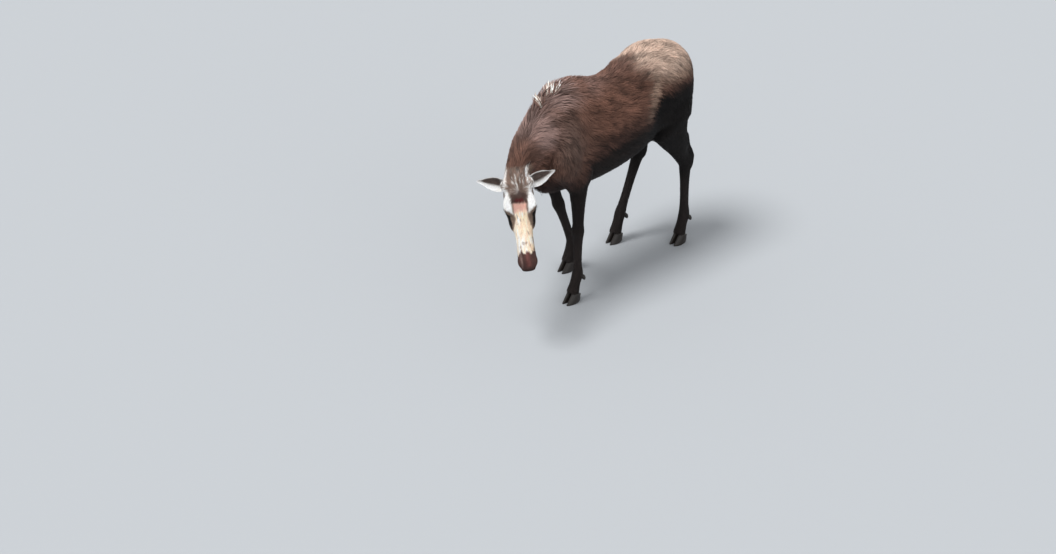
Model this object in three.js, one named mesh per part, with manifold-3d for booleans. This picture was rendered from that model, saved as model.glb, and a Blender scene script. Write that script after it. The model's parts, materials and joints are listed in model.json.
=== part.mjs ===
// A cow moose, life size, as a still museum model. She stands on all four feet with her head low and turned
// to her left. Millimetres. +Z is up, she faces -Y and her left side is +X. The origin is on the floor,
// under the middle of her outline.
//
// The body is one field of flesh. A long sweep runs from the nose to the rump, and muscle masses and four
// legs melt into it. A net of points is drawn tight over that field for the head, the neck and trunk, and
// the upper legs, and rings of points run down the thin lower legs. Thin cuts part the body into its nodes.
import * as THREE from "three";
import { mergeVertices } from "three/addons/utils/BufferGeometryUtils.js";
import Module from "manifold-3d";

const wasm = await Module();
wasm.setup();

// ---------------------------------------------------------------- driving dimensions
const GAP = 0.4; // the thin cut between two nodes
const HEAD_TURN = 57.5; // degrees to her left, from the line of the body
const HEAD_DROP = 55; // degrees below level
const HEAD_ROLL = 12; // degrees about the line of the face, which shows a little more of her left cheek
const POLL = [106, -1012, 1247]; // where the line of the head begins, inside the poll
const EYE_RADIUS = 20;
const EYE_PLACE = [272, 104, 38]; // along the head, to the side, and up from the head's line
const EAR_LENGTH = 222;
const EAR_HALF_WIDTH = 58;
const EAR_CUP = 42; // how deep the cup of the ear is
const EAR_THICK = 11; // the ear's wall with its coat
const HOOF_LENGTH = { fore: 134, hind: 124 };
const HOOF_HALF_WIDTH = 24; // of one of the two claws of a foot
const HOOF_CLEFT = 4; // between the two claws
const CORONET_HEIGHT = 76; // the middle of the sloping line where the coat ends and the hoof begins
const CORONET_SLOPE = 20; // degrees
const LEFT = 1;
const RIGHT = -1;

// ---------------------------------------------------------------- small vector helpers, on plain arrays
const add = (a, b, k = 1) => [a[0] + k * b[0], a[1] + k * b[1], a[2] + k * b[2]];
const sub = (a, b) => [a[0] - b[0], a[1] - b[1], a[2] - b[2]];
const dot = (a, b) => a[0] * b[0] + a[1] * b[1] + a[2] * b[2];
const scale = (a, k) => [a[0] * k, a[1] * k, a[2] * k];
const cross = (a, b) => [a[1] * b[2] - a[2] * b[1], a[2] * b[0] - a[0] * b[2], a[0] * b[1] - a[1] * b[0]];
const unit = (a) => scale(a, 1 / Math.hypot(...a));
const mix = (a, b, t) => a.map((v, i) => v + (b[i] - v) * t);
const mirror = (p, side) => [p[0] * side, p[1], p[2]];
const radians = (degrees) => (degrees * Math.PI) / 180;

// ---------------------------------------------------------------- the head's own frame
// ALONG runs down the face, FACE_UP stands out of the forehead, and FACE_LEFT points to her left cheek.
const ALONG = [
  Math.sin(radians(HEAD_TURN)) * Math.cos(radians(HEAD_DROP)),
  -Math.cos(radians(HEAD_TURN)) * Math.cos(radians(HEAD_DROP)),
  -Math.sin(radians(HEAD_DROP)),
];
const LEVEL_LEFT = unit(cross([0, 0, 1], ALONG));
const LEVEL_UP = cross(ALONG, LEVEL_LEFT);
const ROLL = radians(HEAD_ROLL);
const FACE_LEFT = add(scale(LEVEL_LEFT, Math.cos(ROLL)), LEVEL_UP, Math.sin(ROLL));
const FACE_UP = cross(ALONG, FACE_LEFT);
const headPoint = (along, left, up) =>
  add(add(add(POLL, ALONG, along), FACE_LEFT, left), FACE_UP, up);

// ---------------------------------------------------------------- the field of flesh
// A station holds a middle point, the way that is up there, and the half sizes to the side, up and down,
// with the power of the rounding above and below: 2 is an ellipse, less is a ridge, and more is boxier.
const station = (at, up, side, top, bottom, ridge = 2, keel = 2) => ({
  row: [...at, ...up, side, top, bottom, ridge, keel],
});

function catmullRom(a, b, c, d, t) {
  return b.map((_, i) => {
    const slope0 = (c[i] - a[i]) / 2;
    const slope1 = (d[i] - b[i]) / 2;
    const lift = c[i] - b[i];
    return b[i] + t * (slope0 + t * (3 * lift - 2 * slope0 - slope1 + t * (slope0 + slope1 - 2 * lift)));
  });
}

// A mass swept through its stations, with rounded ends that reach out by the two caps.
function sweep(stations, [capStart, capEnd], steps = 4) {
  const rows = stations.map((s) => s.row);
  const samples = [];
  for (let i = 0; i < rows.length - 1; i++) {
    const before = rows[Math.max(i - 1, 0)];
    const after = rows[Math.min(i + 2, rows.length - 1)];
    for (let k = 0; k < steps; k++) {
      samples.push(catmullRom(before, rows[i], rows[i + 1], after, k / steps));
    }
  }
  samples.push(rows.at(-1));
  const frames = samples.map((row, i) => {
    const ahead = samples[Math.min(i + 1, samples.length - 1)];
    const behind = samples[Math.max(i - 1, 0)];
    const forward = unit(sub(ahead, behind));
    const side = unit(cross(row.slice(3, 6), forward));
    return { at: row.slice(0, 3), forward, side, up: cross(forward, side), sizes: row.slice(6) };
  });
  let reach = 0;
  for (const f of frames) reach = Math.max(reach, ...f.sizes.slice(0, 3));
  const low = [0, 1, 2].map((i) => Math.min(...frames.map((f) => f.at[i])) - reach);
  const high = [0, 1, 2].map((i) => Math.max(...frames.map((f) => f.at[i])) + reach);
  return { frames, capStart, capEnd, low, high };
}

// A rounded lump, which is a very short sweep.
function lump(at, forward, up, [length, side, height]) {
  const ends = [-0.04, 0.04].map((share) => add(at, forward, length * share));
  return sweep(ends.map((end) => station(end, up, side, height, height)), [length, length], 1);
}

// How far a point is outside a mass, measured away from its middle line. Negative is inside.
function distanceTo(mass, p) {
  const { frames } = mass;
  let best = Infinity;
  let index = 0;
  let share = 0;
  let over = 0;
  for (let i = 0; i < frames.length - 1; i++) {
    const a = frames[i].at;
    const run = sub(frames[i + 1].at, a);
    const whole = dot(run, run);
    const raw = dot(sub(p, a), run) / whole;
    const t = Math.min(1, Math.max(0, raw));
    const off = sub(p, add(a, run, t));
    const d = dot(off, off);
    if (d < best) {
      best = d;
      index = i;
      share = t;
      const past = raw < 0 && i === 0 ? raw : raw > 1 && i === frames.length - 2 ? raw - 1 : 0;
      over = past * Math.sqrt(whole);
    }
  }
  const a = frames[index];
  const b = frames[index + 1];
  const off = sub(p, mix(a.at, b.at, share));
  const across = dot(off, mix(a.side, b.side, share));
  const height = dot(off, mix(a.up, b.up, share));
  const [side, top, bottom, ridge, keel] = mix(a.sizes, b.sizes, share);
  const power = height > 0 ? ridge : keel;
  const tall = height > 0 ? top : bottom;
  const section = (Math.abs(across / side) ** power + Math.abs(height / tall) ** power) ** (1 / power);
  const cap = over < 0 ? mass.capStart : mass.capEnd;
  const q = Math.hypot(section, over / cap);
  const r = Math.hypot(across, height, over);
  return q < 1e-6 ? -Math.min(side, tall) : r - r / q;
}

// A field is a list of [mass, blend]: each mass melts into those before it over the blend's width.
function fieldAt(field, p) {
  let value = 1e4;
  for (const [mass, blend] of field) {
    const reach = blend + 60;
    if (p.some((v, i) => v < mass.low[i] - reach || v > mass.high[i] + reach)) continue;
    const d = distanceTo(mass, p);
    const h = Math.max(blend - Math.abs(value - d), 0) / blend;
    value = Math.min(value, d) - (h * h * blend) / 4;
  }
  return value;
}

// How far a ray runs from inside the flesh to its surface, or to the limit if that is nearer.
function rayLength(field, from, along, limit) {
  const steps = 20;
  let inside = 0;
  let outside = limit;
  for (let i = 1; i <= steps; i++) {
    const r = (limit * i) / steps;
    if (fieldAt(field, add(from, along, r)) > 0) {
      outside = r;
      break;
    }
    inside = r;
  }
  for (let i = 0; i < 11; i++) {
    const middle = (inside + outside) / 2;
    if (fieldAt(field, add(from, along, middle)) > 0) outside = middle;
    else inside = middle;
  }
  return inside;
}

// ---------------------------------------------------------------- the long sweep: head, neck and trunk
// Each row of the head: how far along, and the half sizes to the side, up and down, with the two powers.
const HEAD_ROWS = [
  [706, 48, 18, 62, 2.2, 2.2],
  [684, 60, 44, 80, 2.3, 2.3],
  [640, 67, 68, 94, 2.3, 2.3],
  [580, 66, 74, 98, 2.3, 2.2],
  [500, 64, 64, 98, 2.3, 2.0],
  [412, 70, 59, 108, 2.3, 2.0],
  [330, 82, 68, 128, 2.3, 1.9],
  [255, 98, 84, 150, 2.4, 1.9],
  [160, 102, 94, 164, 2.3, 1.9],
  [70, 98, 92, 142, 2.1, 2.0],
];
// Each row of the neck: the middle point and the half sizes.
const NECK_ROWS = [
  [80, -936, 1280, 104, 112, 146, 2, 2],
  [30, -800, 1325, 138, 190, 226, 1.9, 2],
  [8, -672, 1335, 172, 290, 330, 1.8, 2],
];
// Each row of the trunk: how far back, the height of its middle, the heights of the back and the belly, the
// half width and the two powers.
const TRUNK_ROWS = [
  [-545, 1318, 1700, 890, 216, 1.7, 2.0],
  [-430, 1296, 1722, 848, 236, 1.7, 2.0],
  [-280, 1265, 1690, 828, 254, 1.7, 2.1],
  [-100, 1248, 1630, 826, 282, 1.7, 2.1],
  [80, 1250, 1604, 846, 294, 1.6, 2.1],
  [240, 1275, 1634, 885, 282, 1.6, 2.1],
  [380, 1310, 1680, 950, 260, 1.65, 2.1],
  [520, 1340, 1698, 1035, 246, 1.8, 2.1],
  [680, 1355, 1642, 1090, 216, 1.9, 2.0],
  [800, 1340, 1538, 1150, 168, 2.0, 2.0],
];
const UP = [0, 0, 1];
const FORWARD = [0, -1, 0];
const spine = sweep(
  [
    ...HEAD_ROWS.map(([along, ...sizes]) => station(headPoint(along, 0, 0), FACE_UP, ...sizes)),
    ...NECK_ROWS.map(([x, y, z, ...sizes], i) =>
      station([x, y, z], mix(FACE_UP, UP, (i + 1) / 4), ...sizes),
    ),
    ...TRUNK_ROWS.map(([y, z, top, bottom, side, ridge, keel]) =>
      station([0, y, z], UP, side, top - z, z - bottom, ridge, keel),
    ),
  ],
  [14, 55],
);

// ---------------------------------------------------------------- masses that melt into the long sweep
// A lump on the head, given in the head's own frame, with its size along, to the side and up.
const headLump = ([along, left, up], size, tilt = 0) =>
  lump(headPoint(along, left, up), unit(add(ALONG, FACE_UP, tilt)), FACE_UP, size);

function headMasses(side) {
  return [
    [headLump([236, side * 82, 52], [66, 38, 34]), 30], // brow over the eye
    [headLump([322, side * 72, 6], [90, 26, 24], 0.12), 34], // crest below the eye
    [headLump([170, side * 70, -70], [92, 36, 78]), 40], // jaw muscle
    [headLump([90, side * 84, 32], [42, 40, 38]), 34], // root of the ear
    [headLump([648, side * 42, 24], [40, 27, 30], -0.2), 18], // flare of the nostril
  ];
}

function bodyMasses(side) {
  const at = (x, y, z) => mirror([x, y, z], side);
  const blade = [
    station(at(98, -385, 1540), FORWARD, 46, 62, 62),
    station(at(148, -470, 1370), FORWARD, 72, 118, 118),
    station(at(180, -590, 1170), FORWARD, 76, 112, 112),
  ];
  const upperArm = [
    station(at(178, -600, 1150), FORWARD, 76, 96, 96),
    station(at(186, -450, 1005), FORWARD, 70, 92, 92),
  ];
  const haunch = [
    station(at(118, 560, 1530), FORWARD, 92, 170, 180),
    station(at(158, 550, 1330), FORWARD, 106, 190, 236),
    station(at(182, 520, 1130), FORWARD, 92, 180, 236),
  ];
  return [
    [sweep(blade, [60, 60]), 60],
    [sweep(upperArm, [60, 50]), 90],
    [sweep(haunch, [70, 60]), 90],
    [lump(at(160, 330, 1508), FORWARD, UP, [70, 40, 38]), 60], // point of the hip
    [lump(at(194, -360, 1000), UP, FORWARD, [60, 34, 40]), 40], // point of the elbow
  ];
}

// The crest runs from the neck over the shoulders, and is highest where the hump is.
const crest = sweep(
  [
    station([8, -770, 1488], UP, 58, 62, 90),
    station([2, -650, 1606], UP, 74, 98, 100),
    station([0, -500, 1644], UP, 78, 108, 110),
    station([0, -320, 1610], UP, 70, 84, 100),
  ],
  [70, 90],
);

const axialField = [
  [spine, 1],
  [crest, 60],
  [lump([0, -610, 1010], FORWARD, UP, [120, 92, 110]), 100], // brisket
  [lump([0, 500, 1010], FORWARD, UP, [120, 88, 70]), 80], // udder
  ...bodyMasses(LEFT),
  ...bodyMasses(RIGHT),
  [headLump([604, 0, -86], [50, 42, 36]), 20], // chin, set back under the lip
  [headLump([30, 0, 52], [60, 58, 50]), 30], // crown
  ...headMasses(LEFT),
  ...headMasses(RIGHT),
];

// ---------------------------------------------------------------- the legs
// Joints of each leg, from the top to the coronet. The left fore foot is set forward and the right one
// back, and the hind feet the other way round, as in a slow step.
const LEGS = {
  foreleg_left: {
    pair: "fore",
    joints: [[188, -438, 1010], [203, -456, 570], [201, -460, 212], [200, -506, 78]],
  },
  foreleg_right: {
    pair: "fore",
    joints: [[-188, -415, 1010], [-170, -270, 580], [-150, -150, 218], [-148, -192, 78]],
  },
  hindleg_left: {
    pair: "hind",
    joints: [[196, 470, 1050], [176, 725, 662], [170, 726, 218], [170, 680, 78]],
  },
  hindleg_right: {
    pair: "hind",
    joints: [[-196, 410, 1050], [-186, 610, 665], [-184, 412, 222], [-184, 362, 78]],
  },
};
// Where along the bones a leg is measured: the bone, the share of it, and the half sizes to the side, front
// and back.
const LEG_ROWS = {
  fore: [
    [0, 0.0, 64, 84, 84],
    [0, 0.3, 56, 68, 70],
    [0, 0.62, 44, 50, 52],
    [0, 0.86, 40, 42, 44],
    [1, 0.0, 46, 50, 46],
    [1, 0.2, 37, 37, 37],
    [1, 0.5, 29, 31, 36],
    [1, 0.8, 29, 32, 37],
    [2, 0.0, 38, 41, 47],
    [2, 0.5, 38, 38, 42],
    [2, 1.0, 47, 47, 49],
  ],
  hind: [
    [0, 0.0, 84, 110, 135],
    [0, 0.3, 70, 92, 110],
    [0, 0.6, 54, 66, 74],
    [0, 0.85, 43, 54, 56],
    [1, 0.0, 44, 54, 58],
    [1, 0.14, 38, 44, 48],
    [1, 0.45, 31, 34, 39],
    [1, 0.8, 30, 34, 39],
    [2, 0.0, 38, 42, 48],
    [2, 0.5, 38, 39, 43],
    [2, 1.0, 46, 46, 48],
  ],
};

const legSweep = ({ pair, joints }) =>
  sweep(
    LEG_ROWS[pair].map(([bone, share, side, front, back]) =>
      station(mix(joints[bone], joints[bone + 1], share), FORWARD, side, front, back, 2.2, 2.2),
    ),
    [50, 60],
    3,
  );

// The heel bone stands out behind the hock, and its cord runs up to the thigh.
function heel({ joints }) {
  const [stifle, hock] = joints;
  const point = add(hock, [0, 62, 36]);
  const cord = add(mix(hock, stifle, 0.5), [0, 106, 40]);
  return sweep(
    [
      station(add(point, [0, -26, -62]), FORWARD, 26, 26, 28),
      station(point, FORWARD, 27, 36, 28),
      station(mix(point, cord, 0.5), FORWARD, 23, 48, 24),
      station(cord, FORWARD, 30, 70, 34),
    ],
    [24, 30],
    2,
  );
}

// The ham fills the back of the thigh, from the rump down to the heel's cord.
function ham({ joints }) {
  const [stifle, hock] = joints;
  return sweep(
    [
      station(add(stifle, [0, 110, 130]), FORWARD, 74, 120, 130),
      station(add(mix(stifle, hock, 0.25), [0, 84, 20]), FORWARD, 56, 92, 96),
      station(add(mix(stifle, hock, 0.55), [0, 62, 10]), FORWARD, 36, 58, 60),
    ],
    [60, 40],
    3,
  );
}

const legMasses = (leg) =>
  leg.pair === "hind"
    ? [[legSweep(leg), 80], [ham(leg), 60], [heel(leg), 40]]
    : [[legSweep(leg), 70]];

const bodyField = [...axialField, ...Object.values(LEGS).flatMap(legMasses)];

// ---------------------------------------------------------------- from rings of points to solids
function geometryOf(points, faces) {
  return new THREE.BufferGeometry()
    .setAttribute("position", new THREE.Float32BufferAttribute(points.flat(), 3))
    .setIndex(faces.flat());
}

// Joins rings of points of equal count into a closed skin, with a single point at each end.
function closedTube(firstPole, rings, lastPole) {
  const n = rings[0].length;
  const points = [firstPole, ...rings.flat(), lastPole];
  const last = points.length - 1;
  const at = (i, j) => 1 + i * n + (j % n);
  const faces = [];
  for (let j = 0; j < n; j++) {
    faces.push([0, at(0, j + 1), at(0, j)]);
    faces.push([last, at(rings.length - 1, j), at(rings.length - 1, j + 1)]);
    for (let i = 0; i < rings.length - 1; i++) {
      faces.push([at(i, j), at(i, j + 1), at(i + 1, j)]);
      faces.push([at(i, j + 1), at(i + 1, j + 1), at(i + 1, j)]);
    }
  }
  return geometryOf(points, faces);
}

function solidOf(geometry) {
  const bare = geometry.clone();
  bare.deleteAttribute("normal");
  bare.deleteAttribute("uv");
  const merged = mergeVertices(bare, 1e-3);
  const solid = new wasm.Manifold(
    new wasm.Mesh({
      numProp: 3,
      vertProperties: new Float32Array(merged.attributes.position.array),
      triVerts: new Uint32Array(merged.index.array),
    }),
  );
  if (solid.volume() > 0) return solid;
  const index = merged.index.array;
  for (let i = 0; i < index.length; i += 3) [index[i + 1], index[i + 2]] = [index[i + 2], index[i + 1]];
  return solidOf(merged);
}

// Edges shorter than this, left where two cuts meet, are closed up.
const SHORTEST_EDGE = 0.05;

function meshOf(name, solid, material) {
  const { numProp, vertProperties, triVerts } = solid.getMesh();
  const points = [];
  for (let i = 0; i < vertProperties.length; i += numProp) points.push(...vertProperties.slice(i, i + 3));
  const fine = new THREE.BufferGeometry()
    .setAttribute("position", new THREE.Float32BufferAttribute(points, 3))
    .setIndex(new THREE.BufferAttribute(new Uint32Array(triVerts), 1));
  const geometry = mergeVertices(fine, SHORTEST_EDGE);
  const index = [...geometry.index.array];
  const whole = index.filter((_, i) => {
    const [a, b, c] = index.slice(i - (i % 3), i - (i % 3) + 3);
    return a !== b && b !== c && c !== a;
  });
  geometry.setIndex(whole);
  const mesh = new THREE.Mesh(geometry, material);
  mesh.name = name;
  return mesh;
}

// A frame part of the way between two samples of a sweep.
function frameAt({ frames }, place) {
  const i = Math.min(Math.floor(place), frames.length - 2);
  const t = place - i;
  const a = frames[i];
  const b = frames[i + 1];
  return {
    at: mix(a.at, b.at, t),
    forward: unit(mix(a.forward, b.forward, t)),
    side: unit(mix(a.side, b.side, t)),
    up: unit(mix(a.up, b.up, t)),
    sizes: mix(a.sizes, b.sizes, t),
  };
}

// Shoots rings of rays from a sweep's middle line to the surface of a field. The ends get extra rings whose
// rays lean out along the line.
function raySolid(mass, field, places, sides) {
  const ring = (place, tilt) => {
    const f = frameAt(mass, place);
    const out = Math.cos(radians(tilt));
    const on = Math.sin(radians(tilt));
    return Array.from({ length: sides }, (_, j) => {
      const turn = (2 * Math.PI * j) / sides;
      const across = add(scale(f.side, Math.cos(turn)), f.up, Math.sin(turn));
      const along = add(scale(across, out), f.forward, on);
      const tall = Math.sin(turn) > 0 ? f.sizes[1] : f.sizes[2];
      const own = Math.hypot(Math.cos(turn) * f.sizes[0], Math.sin(turn) * tall);
      return add(f.at, along, rayLength(field, f.at, along, 2 * own + 40 * Math.abs(on)));
    });
  };
  const pole = (place, sign) => {
    const f = frameAt(mass, place);
    const along = scale(f.forward, sign);
    return add(f.at, along, rayLength(field, f.at, along, 200));
  };
  const first = places[0];
  const last = places.at(-1);
  const rings = [ring(first, -45), ...places.map((place) => ring(place, 0)), ring(last, 45)];
  return solidOf(closedTube(pole(first, -1), rings, pole(last, 1)));
}

// Draws a net over a field between two corners: each cell that the surface passes through gets one point,
// which is then pulled onto the surface, and each crossed edge of the grid gets a four-sided face.
function netSolid(field, low, high, cell) {
  const count = high.map((v, i) => Math.ceil((v - low[i]) / cell[i]) + 1);
  const index = (i, j, k) => (i * count[1] + j) * count[2] + k;
  const corner = (...ijk) => ijk.map((n, axis) => low[axis] + n * cell[axis]);
  const value = (p) => fieldAt(field, p);
  const inner = (ijk) => ijk.every((v, axis) => v > 0 && v < count[axis] - 1);
  const values = new Float64Array(count[0] * count[1] * count[2]).fill(1e3);
  const each = (size, visit) => {
    for (let i = 0; i < size[0]; i++)
      for (let j = 0; j < size[1]; j++) for (let k = 0; k < size[2]; k++) visit(i, j, k);
  };
  each(count, (i, j, k) => {
    if (inner([i, j, k])) values[index(i, j, k)] = value(corner(i, j, k));
  });
  const slope = (p) =>
    [0, 1, 2].map((axis) => {
      const step = [0, 0, 0];
      step[axis] = 1;
      return (value(add(p, step)) - value(add(p, step, -1))) / 2;
    });
  const points = [];
  const pointOf = new Map();
  const edges = [0, 1, 2].flatMap((axis) =>
    [0, 1, 2, 3].map((n) => {
      const from = [0, 0, 0];
      from[(axis + 1) % 3] = n % 2;
      from[(axis + 2) % 3] = n >> 1;
      const to = [...from];
      to[axis] = 1;
      return [from, to];
    }),
  );
  each(count.map((n) => n - 1), (i, j, k) => {
    const crossings = [];
    for (const [a, b] of edges) {
      const va = values[index(i + a[0], j + a[1], k + a[2])];
      const vb = values[index(i + b[0], j + b[1], k + b[2])];
      if (va > 0 === vb > 0) continue;
      const pa = corner(i + a[0], j + a[1], k + a[2]);
      const pb = corner(i + b[0], j + b[1], k + b[2]);
      crossings.push(mix(pa, pb, Math.min(0.95, Math.max(0.05, va / (va - vb)))));
    }
    if (!crossings.length) return;
    let point = scale(crossings.reduce((sum, p) => add(sum, p), [0, 0, 0]), 1 / crossings.length);
    if (inner([i, j, k]) && inner([i + 1, j + 1, k + 1]))
      for (let n = 0; n < 3; n++) {
        const g = slope(point);
        point = add(point, g, -value(point) / Math.max(dot(g, g), 0.2));
      }
    pointOf.set(index(i, j, k), points.length);
    points.push(point);
  });
  const faces = [];
  each(count, (i, j, k) => {
    for (let axis = 0; axis < 3; axis++) {
      const next = [i, j, k];
      next[axis]++;
      if (next[axis] >= count[axis]) continue;
      const here = values[index(i, j, k)] > 0;
      if (here === values[index(...next)] > 0) continue;
      const ring = [[0, 0], [-1, 0], [-1, -1], [0, -1]].map(([u, v]) => {
        const cellAt = [i, j, k];
        cellAt[(axis + 1) % 3] += u;
        cellAt[(axis + 2) % 3] += v;
        return pointOf.get(index(...cellAt));
      });
      const [a, b, c, d] = here ? ring : ring.reverse();
      faces.push([a, b, c], [a, c, d]);
    }
  });
  return solidOf(geometryOf(points, faces));
}

const evenly = (from, to, count) =>
  Array.from({ length: count + 1 }, (_, i) => from + ((to - from) * i) / count);

// ---------------------------------------------------------------- the solids before they are cut
const BODY_CELL = [62, 88, 62];
const HEAD_CELL = [29.5, 29.5, 33];
const UPPER_LEG_CELL = [34, 40, 60];
const LEG_SIDES = 10;
const bodyNet = () => netSolid(bodyField, [-390, -1270, 700], [390, 980, 1840], BODY_CELL);
const headNet = () => netSolid(bodyField, [-110, -1300, 500], [500, -780, 1420], HEAD_CELL);

// What stands on the body is cut back to a copy of it that is moved a little each way, which leaves a gap.
const NUDGES = [0, 1, 2].flatMap((axis) => [GAP, -GAP].map((step) => [0, 0, 0].with(axis, step)));
const apart = (solid, ...others) =>
  others
    .flatMap((other) => [other, ...NUDGES.map((step) => other.translate(step))])
    .reduce((rest, other) => rest.subtract(other), solid);

// ---------------------------------------------------------------- the cuts
// A cut is a plane through a point; each side of it starts half a gap away.
function part(solid, point, normal) {
  const n = unit(normal);
  const level = dot(point, n);
  return [solid.trimByPlane(n, level + GAP / 2), solid.trimByPlane(scale(n, -1), -level + GAP / 2)];
}

// The head and the neck are parted by thin slabs just wide enough for the neck.
function slab({ point, normal, width }) {
  const turn = new THREE.Quaternion().setFromUnitVectors(
    new THREE.Vector3(0, 0, 1),
    new THREE.Vector3(...unit(normal)),
  );
  return solidOf(new THREE.BoxGeometry(width, width, GAP).applyQuaternion(turn).translate(...point));
}
const POLL_CUT = { point: headPoint(6, 0, -20), normal: add(ALONG, [0.2, -0.9, -0.39], 0.75), width: 420 };
const NECK_CUT = { point: [0, -660, 1340], normal: [0, -1, 0.26], width: 1100 };

// A leg is what lies in two boxes: one under the belly, and a narrower one above it that ends at the elbow
// or the stifle. Each box gives its low and high corner on the left, and its y is told from the top joint.
const LEG_BOXES = {
  fore: [
    { low: [96, -400, -50], high: [420, 500, 800] },
    { low: [96, -125, 790], high: [420, 150, 935] },
  ],
  hind: [
    { low: [30, -300, -50], high: [420, 500, 850] },
    { low: [30, -85, 840], high: [420, 450, 1005] },
  ],
};
function legBox({ pair, joints }, grow) {
  const [box, top] = LEG_BOXES[pair].map(({ low, high }) => {
    const size = high.map((v, i) => v - low[i] + 2 * grow);
    const centre = add(mirror(mix(low, high, 0.5), Math.sign(joints[0][0])), [0, joints[0][1], 0]);
    return solidOf(new THREE.BoxGeometry(...size).translate(...centre));
  });
  return box.add(top);
}
const legless = Object.values(LEGS).reduce((rest, leg) => rest.subtract(legBox(leg, GAP)), bodyNet());

// The piece of a cut solid that holds a point near its middle.
const pieceNear = (solid, point) =>
  solid.decompose().reduce((best, piece) => {
    const middle = (box) => mix([...box.min], [...box.max], 0.5);
    const far = (one) => Math.hypot(...sub(middle(one.boundingBox()), point));
    return piece.volume() > 1e6 && (!best || far(piece) < far(best)) ? piece : best;
  }, null);
const parted = legless.subtract(slab(POLL_CUT)).subtract(slab(NECK_CUT));
const trunk = pieceNear(parted, [0, 100, 1300]);
const neck = pieceNear(parted, [20, -760, 1350]);
const headWhole = pieceNear(headNet().subtract(slab(POLL_CUT)), headPoint(400, 0, 0));

// ---------------------------------------------------------------- eyes, ears, tail and bell
const eyePoint = (side) => headPoint(EYE_PLACE[0], side * EYE_PLACE[1], EYE_PLACE[2]);
const eyeBall = (side, radius) =>
  solidOf(new THREE.SphereGeometry(radius, 10, 6).rotateX(Math.PI / 2).translate(...eyePoint(side)));
const head = headWhole.subtract(eyeBall(LEFT, EYE_RADIUS + GAP)).subtract(eyeBall(RIGHT, EYE_RADIUS + GAP));

// The ear is a long cupped leaf. Its width and depth follow the share t of its length.
const EAR_STEPS = 6;
const EAR_ARC = 6;
const earSwell = (t) => 0.5 + 0.5 * Math.sin(Math.PI * Math.min(1, 0.12 + t * 1.05)) ** 0.9;
const earWidth = (t) => EAR_HALF_WIDTH * earSwell(t) * Math.sqrt(Math.max(0, 1 - t ** 2.6));
const earDepth = (t) => EAR_CUP * (1 - 0.55 * t) * Math.sqrt(Math.max(0, 1 - t ** 3));
function earSolid(side) {
  const root = headPoint(92, side * 84, 34);
  const reach = unit(add(add(scale(FACE_LEFT, side * 0.9), ALONG, -0.27), FACE_UP, -0.3));
  const facing = add(scale(FACE_UP, 0.85), ALONG, 0.5);
  const open = unit(add(facing, reach, -dot(facing, reach)));
  const wide = cross(reach, open);
  const surface = (thick) => (t, s) => {
    const width = earWidth(t) * s;
    const fold = earDepth(t) * (s * s - 1);
    const wall = thick * (1 - 0.7 * s ** 4) * Math.sqrt(Math.max(0, 1 - t ** 4));
    const curl = 22 * t * t; // the tip leans back a little
    return add(add(add(root, reach, EAR_LENGTH * t), wide, width), open, fold - wall - curl);
  };
  const inner = surface(0);
  const outer = surface(EAR_THICK);
  const rings = evenly(0, 0.97, EAR_STEPS).map((t) => [
    ...evenly(-1, 1, EAR_ARC).map((s) => inner(t, s)),
    ...evenly(1, -1, EAR_ARC).map((s) => outer(t, s)),
  ]);
  return solidOf(closedTube(inner(0, 0), rings, inner(1, 0)));
}

const tailSweep = sweep(
  [
    station([0, 796, 1482], [0, 1, 0.4], 38, 26, 26),
    station([0, 850, 1436], [0, 1, 0.4], 34, 19, 22),
    station([0, 872, 1382], [0, 1, 0.2], 26, 14, 17),
    station([0, 876, 1342], [0, 1, 0], 14, 9, 10),
  ],
  [20, 16],
);
const bellRoot = headPoint(96, 0, -118);
const bellSweep = sweep(
  [
    station(bellRoot, FACE_LEFT, 26, 46, 46),
    station(add(bellRoot, [-4, -4, -70]), FACE_LEFT, 22, 34, 34),
    station(add(bellRoot, [-2, -2, -130]), FACE_LEFT, 14, 20, 20),
    station(add(bellRoot, [0, 0, -172]), FACE_LEFT, 7, 9, 9),
  ],
  [10, 12],
);
const ownSolid = (mass, sides) =>
  raySolid(mass, [[mass, 1]], evenly(0, mass.frames.length - 1, 6), sides);

// ---------------------------------------------------------------- legs, hooves and dewclaws
const coronet = ({ joints }) => ({
  point: [joints[3][0], joints[3][1], CORONET_HEIGHT],
  normal: [0, Math.sin(radians(CORONET_SLOPE)), Math.cos(radians(CORONET_SLOPE))],
});

// Where a leg is cut in two: across the knee or the hock, just above the joint.
const JOINT_CUT = { fore: [0, -0.05, 1], hind: [0, -0.45, 1] };

const HOOF_SIDES = 10;
// One claw of a hoof: level rings, rounded behind and pointed in front, that lean back as they rise.
function claw(leg, side) {
  const [x, y] = leg.joints[3];
  const half = HOOF_LENGTH[leg.pair] / 2;
  const middle = x + side * (HOOF_HALF_WIDTH + HOOF_CLEFT / 2);
  const levels = [
    { height: 0, length: half - 3, width: HOOF_HALF_WIDTH - 2 },
    { height: 6, length: half, width: HOOF_HALF_WIDTH },
    { height: 40, length: half * 0.82, width: HOOF_HALF_WIDTH },
    { height: CORONET_HEIGHT + 34, length: half * 0.52, width: HOOF_HALF_WIDTH - 2 },
  ];
  const rings = levels.map(({ height, length, width }) =>
    Array.from({ length: HOOF_SIDES }, (_, j) => {
      const turn = (2 * Math.PI * j) / HOOF_SIDES;
      const ahead = Math.cos(turn);
      const taper = 1 - 0.42 * Math.max(0, ahead) ** 1.5;
      const inwards = -side * 5 * Math.max(0, ahead) ** 2;
      return [
        middle + width * taper * Math.sin(turn) + inwards,
        y - 22 + (height * 34) / CORONET_HEIGHT - length * ahead,
        height,
      ];
    }),
  );
  const centre = (ring) => scale(ring.reduce((sum, p) => add(sum, p), [0, 0, 0]), 1 / ring.length);
  return solidOf(closedTube(centre(rings[0]), rings, centre(rings.at(-1))));
}

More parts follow.
